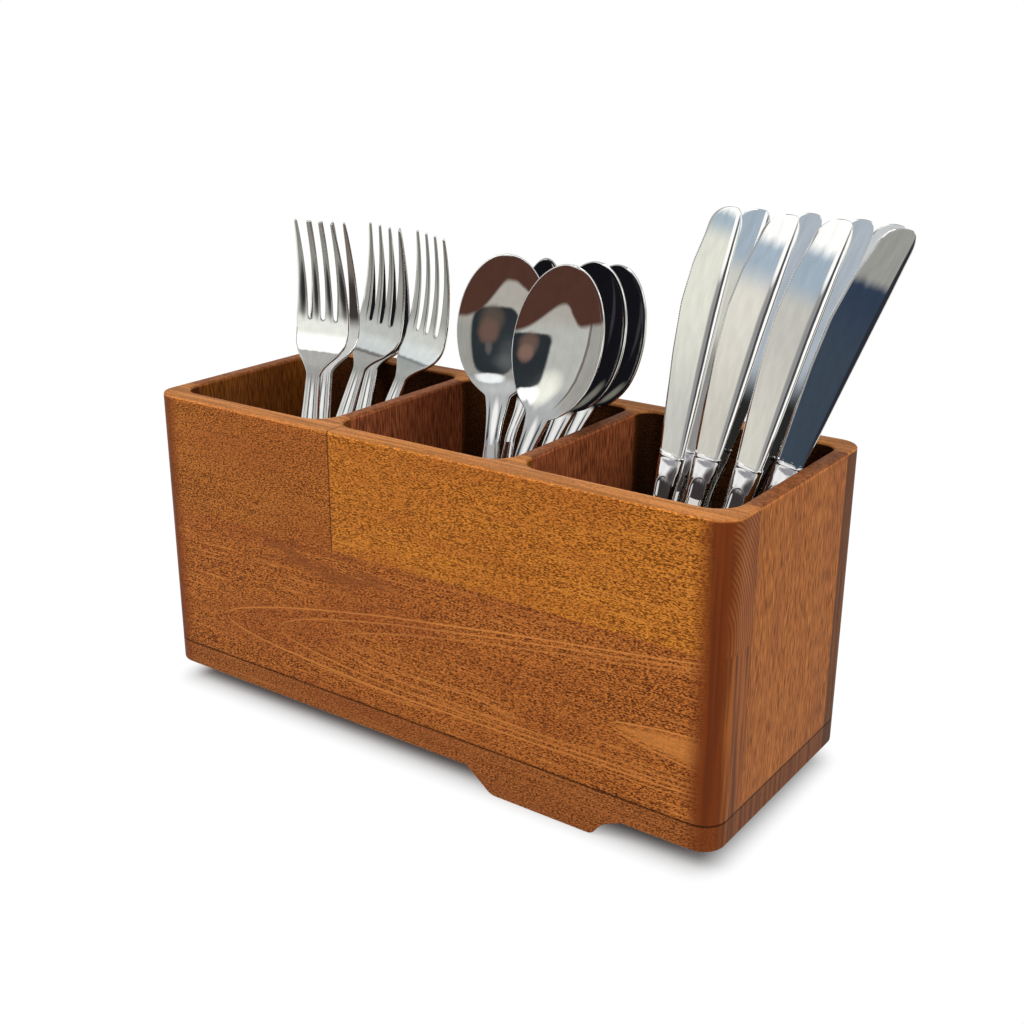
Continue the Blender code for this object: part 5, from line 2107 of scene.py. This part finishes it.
        ridge = self.ridge_height * np.exp(-((below - 0.0004) / 0.00045) ** 2)
        hollow = self.hollow_depth * np.exp(-((below - 0.0024 + 0.0012 * share ** 2) / 0.0009) ** 2)
        bolster = 0.0022 * (1 - np.clip(share, 0, 1) ** 3.0) ** 0.5 + 0.0003
        body = handle + (bolster - handle) * smooth_share(distance, neck - 0.0030, neck + 0.0005)
        body = body + (ridge - hollow) * (1 - share ** 2 * 0.6)
        return np.where(distance > self.shoulder, blade, body)

    def build(self, material: bpy.types.Material) -> None:
        """Make the eight knives. The last part of the blade is drawn in about a line to its tip.

        Args:
            material: Their finish.
        """
        neck = self.shoulder - self.bolster_length
        tip_start = self.length - self.tip_length
        level = np.concatenate([
            self.handle_levels((self.shoulder - 0.024, 20), (neck - 0.003, 34), (self.shoulder, 34)),
            self.shoulder + 0.00004 + np.arange(0.0, tip_start - self.shoulder, self.tooth_pitch / 2),
            tip_start + self.tip_length * np.sin(np.linspace(0.03, math.pi / 2, 26)),
        ])
        columns = both_sides((0.50, 8), (0.86, 12), rim_steps=7)
        distance = np.broadcast_to(level[:, None], (len(level), len(columns)))
        past = np.clip((distance - tip_start) / self.tip_length, 0, 1)
        close = np.sqrt(1 - past ** self.tip_power)
        middle_line = self.tip_middle_share * self.blade_width
        low, high = (middle_line + (side - middle_line) * close for side in self.edges(distance))
        on_edge = smooth_share(distance, self.shoulder + 0.020, self.shoulder + 0.030)
        on_edge = on_edge * (1 - smooth_share(distance, self.length - 0.014, self.length - 0.008))
        tooth = np.broadcast_to((np.arange(len(level)) % 2)[:, None], distance.shape)
        across = low + (high - low) * (columns + 1) / 2
        near_edge = np.clip(1 - (across - low) / 0.0006, 0, 1)
        thickness = self.half_thickness(across, distance, low, high) * np.maximum(close ** 0.5, 0.15)
        across = across + self.tooth_depth * 2 * tooth * on_edge * near_edge
        normals = np.broadcast_to(np.array([0.0, -1.0, 0.0]), (*distance.shape, 3))
        middle = np.stack([across, np.zeros_like(across), distance], axis=-1)
        points, quads = shell(middle, normals, thickness, thickness)
        self.place_all(points, quads, points, material)
        along = np.concatenate([np.linspace(-0.20, -0.004, 24), np.linspace(0.001, 1.03, 42)])
        shares = np.stack(np.meshgrid(np.linspace(-1.05, 1.05, 15), along), axis=-1)
        distance = self.shoulder + shares[..., 1] * self.blade_length
        low, high = self.edges(distance)
        across = (low + high) / 2 + (high - low) / 2 * shares[..., 0]
        forward = np.where(shares[..., 1] < 0, self.handle_gap, self.blade_flat / 2 + self.sheet_gap)
        self.place_sheets(np.stack([across, -forward, distance], axis=-1), shares, points)


BLADE_WINDOW = 61


# Studio


@dataclass(frozen=True)
class Card:
    """Upright four-sided card that only shows in polished steel.

    depth is its place along Y, and corners are places along X and Z, anticlockwise from the lower left.
    """

    name: str
    depth: float
    corners: tuple[Pair, ...]
    colour: Colour
    strength: float = 1.0

    def build(self) -> None:
        """Set the card up, where only polished steel shows it."""
        corners = np.array([(x, self.depth, z) for x, z in self.corners])
        piece = new_piece(self.name, corners, np.empty((0, 4), int), [np.arange(len(corners))])
        shading = Shading(self.name + "_glow")
        only_in_steel(piece, shading.surface(shading.glow(self.colour, self.strength)))


def upright(low_x: float, low_z: float, high_x: float, high_z: float) -> tuple[Pair, ...]:
    """Corners of a rectangle."""
    return ((low_x, low_z), (high_x, low_z), (high_x, high_z), (low_x, high_z))


def only_in_steel(piece: bpy.types.Object, material: bpy.types.Material) -> None:
    """Give a card or sheet its material, and let neither the camera nor soft light see it.

    Args:
        piece: The card or sheet.
        material: Its glow.
    """
    piece.data.materials.append(material)
    piece.visible_camera = False
    piece.visible_diffuse = False
    piece.visible_transmission = False
    piece.visible_shadow = False


@dataclass
class Studio:
    """Camera, floor, lamps and the cards that polished steel reflects.

    ivory, far_blue and far_white are the floor's painted reflection in polished steel, from the box outwards.
    """

    camera_place: Place = (0.339615, -0.460784, 0.297731)
    camera_turn: Place = (70.0899, -0.2833, 35.4556)
    lens: float = 47.955
    sensor: float = 36.0
    floor_size: float = 6.0
    floor_glow: float = 0.02
    floor_light: Colour = (0.90, 0.90, 0.90)
    painted_shadow_grey: Colour = (0.52, 0.52, 0.52)
    white: Colour = (1.0, 1.0, 1.0)
    white_strength: float = 1.01
    shadow_inset: Pair = (0.0125, 0.015)
    shadow_reach: Pair = (0.019, 0.024)
    ivory: Colour = (1.12, 1.10, 0.99)
    far_blue: Colour = (0.42, 0.50, 0.60)
    far_white: Colour = WHITE_GLOW
    band_middle: float = -0.80
    band_shift: float = 0.32
    band_half: float = 0.050
    around: float = 0.60
    lamp_aim: Place = (0.0, 0.0, 0.08)
    cards: tuple[Card, ...] = (
        Card("knife_bay", -0.048, upright(0.020, 0.050, 0.141, 0.143), (1.02, 0.99, 0.95)),
        Card("front_glow", -0.50, upright(-0.60, 0.45, 0.45, 1.10), (1.0, 1.0, 1.0), 1.5),
        Card("fork_glow", -0.22, upright(-0.32, 0.260, -0.10, 0.62), (1.0, 1.0, 1.0), 1.4),
    )

    def make_camera(self) -> None:
        """Camera at the place and angle worked out from the box's edges."""
        data = bpy.data.cameras.new("camera")
        data.lens = self.lens
        data.sensor_width = self.sensor
        camera = bpy.data.objects.new("camera", data)
        camera.location = self.camera_place
        camera.rotation_euler = tuple(math.radians(angle) for angle in self.camera_turn)
        bpy.context.scene.collection.objects.link(camera)
        bpy.context.scene.camera = camera

    def make_floor(self) -> None:
        """White floor that keeps the shadow near the box.

        The camera sees a darker grey diffuse floor near the box, a painted shadow on top of the real one,
        and even white past the shadow's reach. Soft light sees a pale floor. Polished steel sees a painted
        reflection: ivory near the box, then a blue-grey band and bright white behind it.
        """
        half = self.floor_size / 2
        corners = [(-half, -half), (half, -half), (half, half), (-half, half)]
        points = np.array([(x, y, -BOX.foot_height) for x, y in corners])
        floor = new_piece("floor", points, np.array([[0, 1, 2, 3]]))
        shading = Shading("floor_white")
        x, y, _ = shading.split(shading.add("ShaderNodeTexCoord", output="Object"))
        out_x, out_y = (
            ((abs(place) - side + inset) / reach).math("MAXIMUM", 0.0)
            for place, side, inset, reach in zip(
                (x, y), (BOX.right, BOX.back), self.shadow_inset, self.shadow_reach
            )
        )
        away = (out_x * out_x + out_y * out_y) ** 0.5
        share = away.rise(0.0, 1.0) * (1 - self.floor_glow) + self.floor_glow
        camera_ray = shading.add("ShaderNodeLightPath", output="Is Camera Ray")
        glossy_ray = shading.add("ShaderNodeLightPath", output="Is Glossy Ray")
        # Painted shadow: near the box the camera sees a grey diffuse floor, fading to white by position.
        floor_colour = shading.mix(camera_ray, self.floor_light, self.painted_shadow_grey)
        diffuse = shading.add("ShaderNodeBsdfDiffuse", inputs={"Color": floor_colour})
        white = shading.glow(self.white, self.white_strength)
        # Painted reflection: bands of glow on the floor that only polished steel sees.
        past = y * -1.0 + self.band_middle + x.rise(0.03, 0.12) * self.band_shift
        far = shading.mix(past.rise(-self.band_half, 0.0), self.ivory, self.far_blue)
        far = shading.mix(past.rise(0.0, self.band_half), far, self.far_white)
        seen = shading.add("ShaderNodeMixShader", inputs={0: camera_ray * share, 1: diffuse, 2: white})
        mirrored = shading.glow(far)
        shader = shading.add("ShaderNodeMixShader", inputs={0: glossy_ray * 0.9, 1: seen, 2: mirrored})
        floor.data.materials.append(shading.surface(shader))

    def make_world(self) -> None:
        """Even pale surroundings, white where the camera sees them and greyer in polished steel."""
        shading = Shading("studio", world=True)
        camera_ray = shading.add("ShaderNodeLightPath", output="Is Camera Ray")
        levels = {"Value": camera_ray, "To Min": self.around, "To Max": self.white_strength}
        strength = shading.add("ShaderNodeMapRange", inputs=levels)
        around = shading.add("ShaderNodeBackground", inputs={"Color": self.white, "Strength": strength})
        bpy.context.scene.world = shading.surface(around)

    def make_lamp(self, name: str, place: Place, size: Pair, power: float) -> None:
        """Soft rectangular lamp aimed at the box.

        Args:
            name: Its name.
            place: Where it stands.
            size: Its sides.
            power: Its power.
        """
        data = bpy.data.lights.new(name, "AREA")
        data.shape = "RECTANGLE"
        data.size, data.size_y = size
        data.energy = power
        lamp = bpy.data.objects.new(name, data)
        direction = np.array(self.lamp_aim) - np.array(place)
        flat = math.hypot(direction[0], direction[1])
        lamp.location = place
        lamp.rotation_euler = (math.atan2(flat, -direction[2]), 0.0, math.atan2(-direction[0], direction[1]))
        bpy.context.scene.collection.objects.link(lamp)

    def build(self) -> None:
        """Set up the whole studio."""
        bpy.context.scene.view_settings.view_transform = "Standard"
        self.make_camera()
        self.make_floor()
        self.make_world()
        self.make_lamp("key_lamp", (-0.35, -0.75, 1.15), (0.90, 0.70), 11.0)
        self.make_lamp("side_lamp", (1.20, 0.10, 0.75), (0.70, 0.70), 5.0)
        for card in self.cards:
            card.build()


def main() -> None:
    """Build the studio, the box and what stands in it."""
    logging.basicConfig(level=logging.INFO, format="%(message)s")
    Studio().build()
    WoodenBox().build()
    steel = SteelFinish("polished_steel").material()
    blade_steel = SteelFinish("knife_steel", blade_start=Knife().shoulder).material()
    Fork().build(steel)
    Spoon().build(steel)
    Knife().build(blade_steel)


if __name__ == "__main__":
    main()
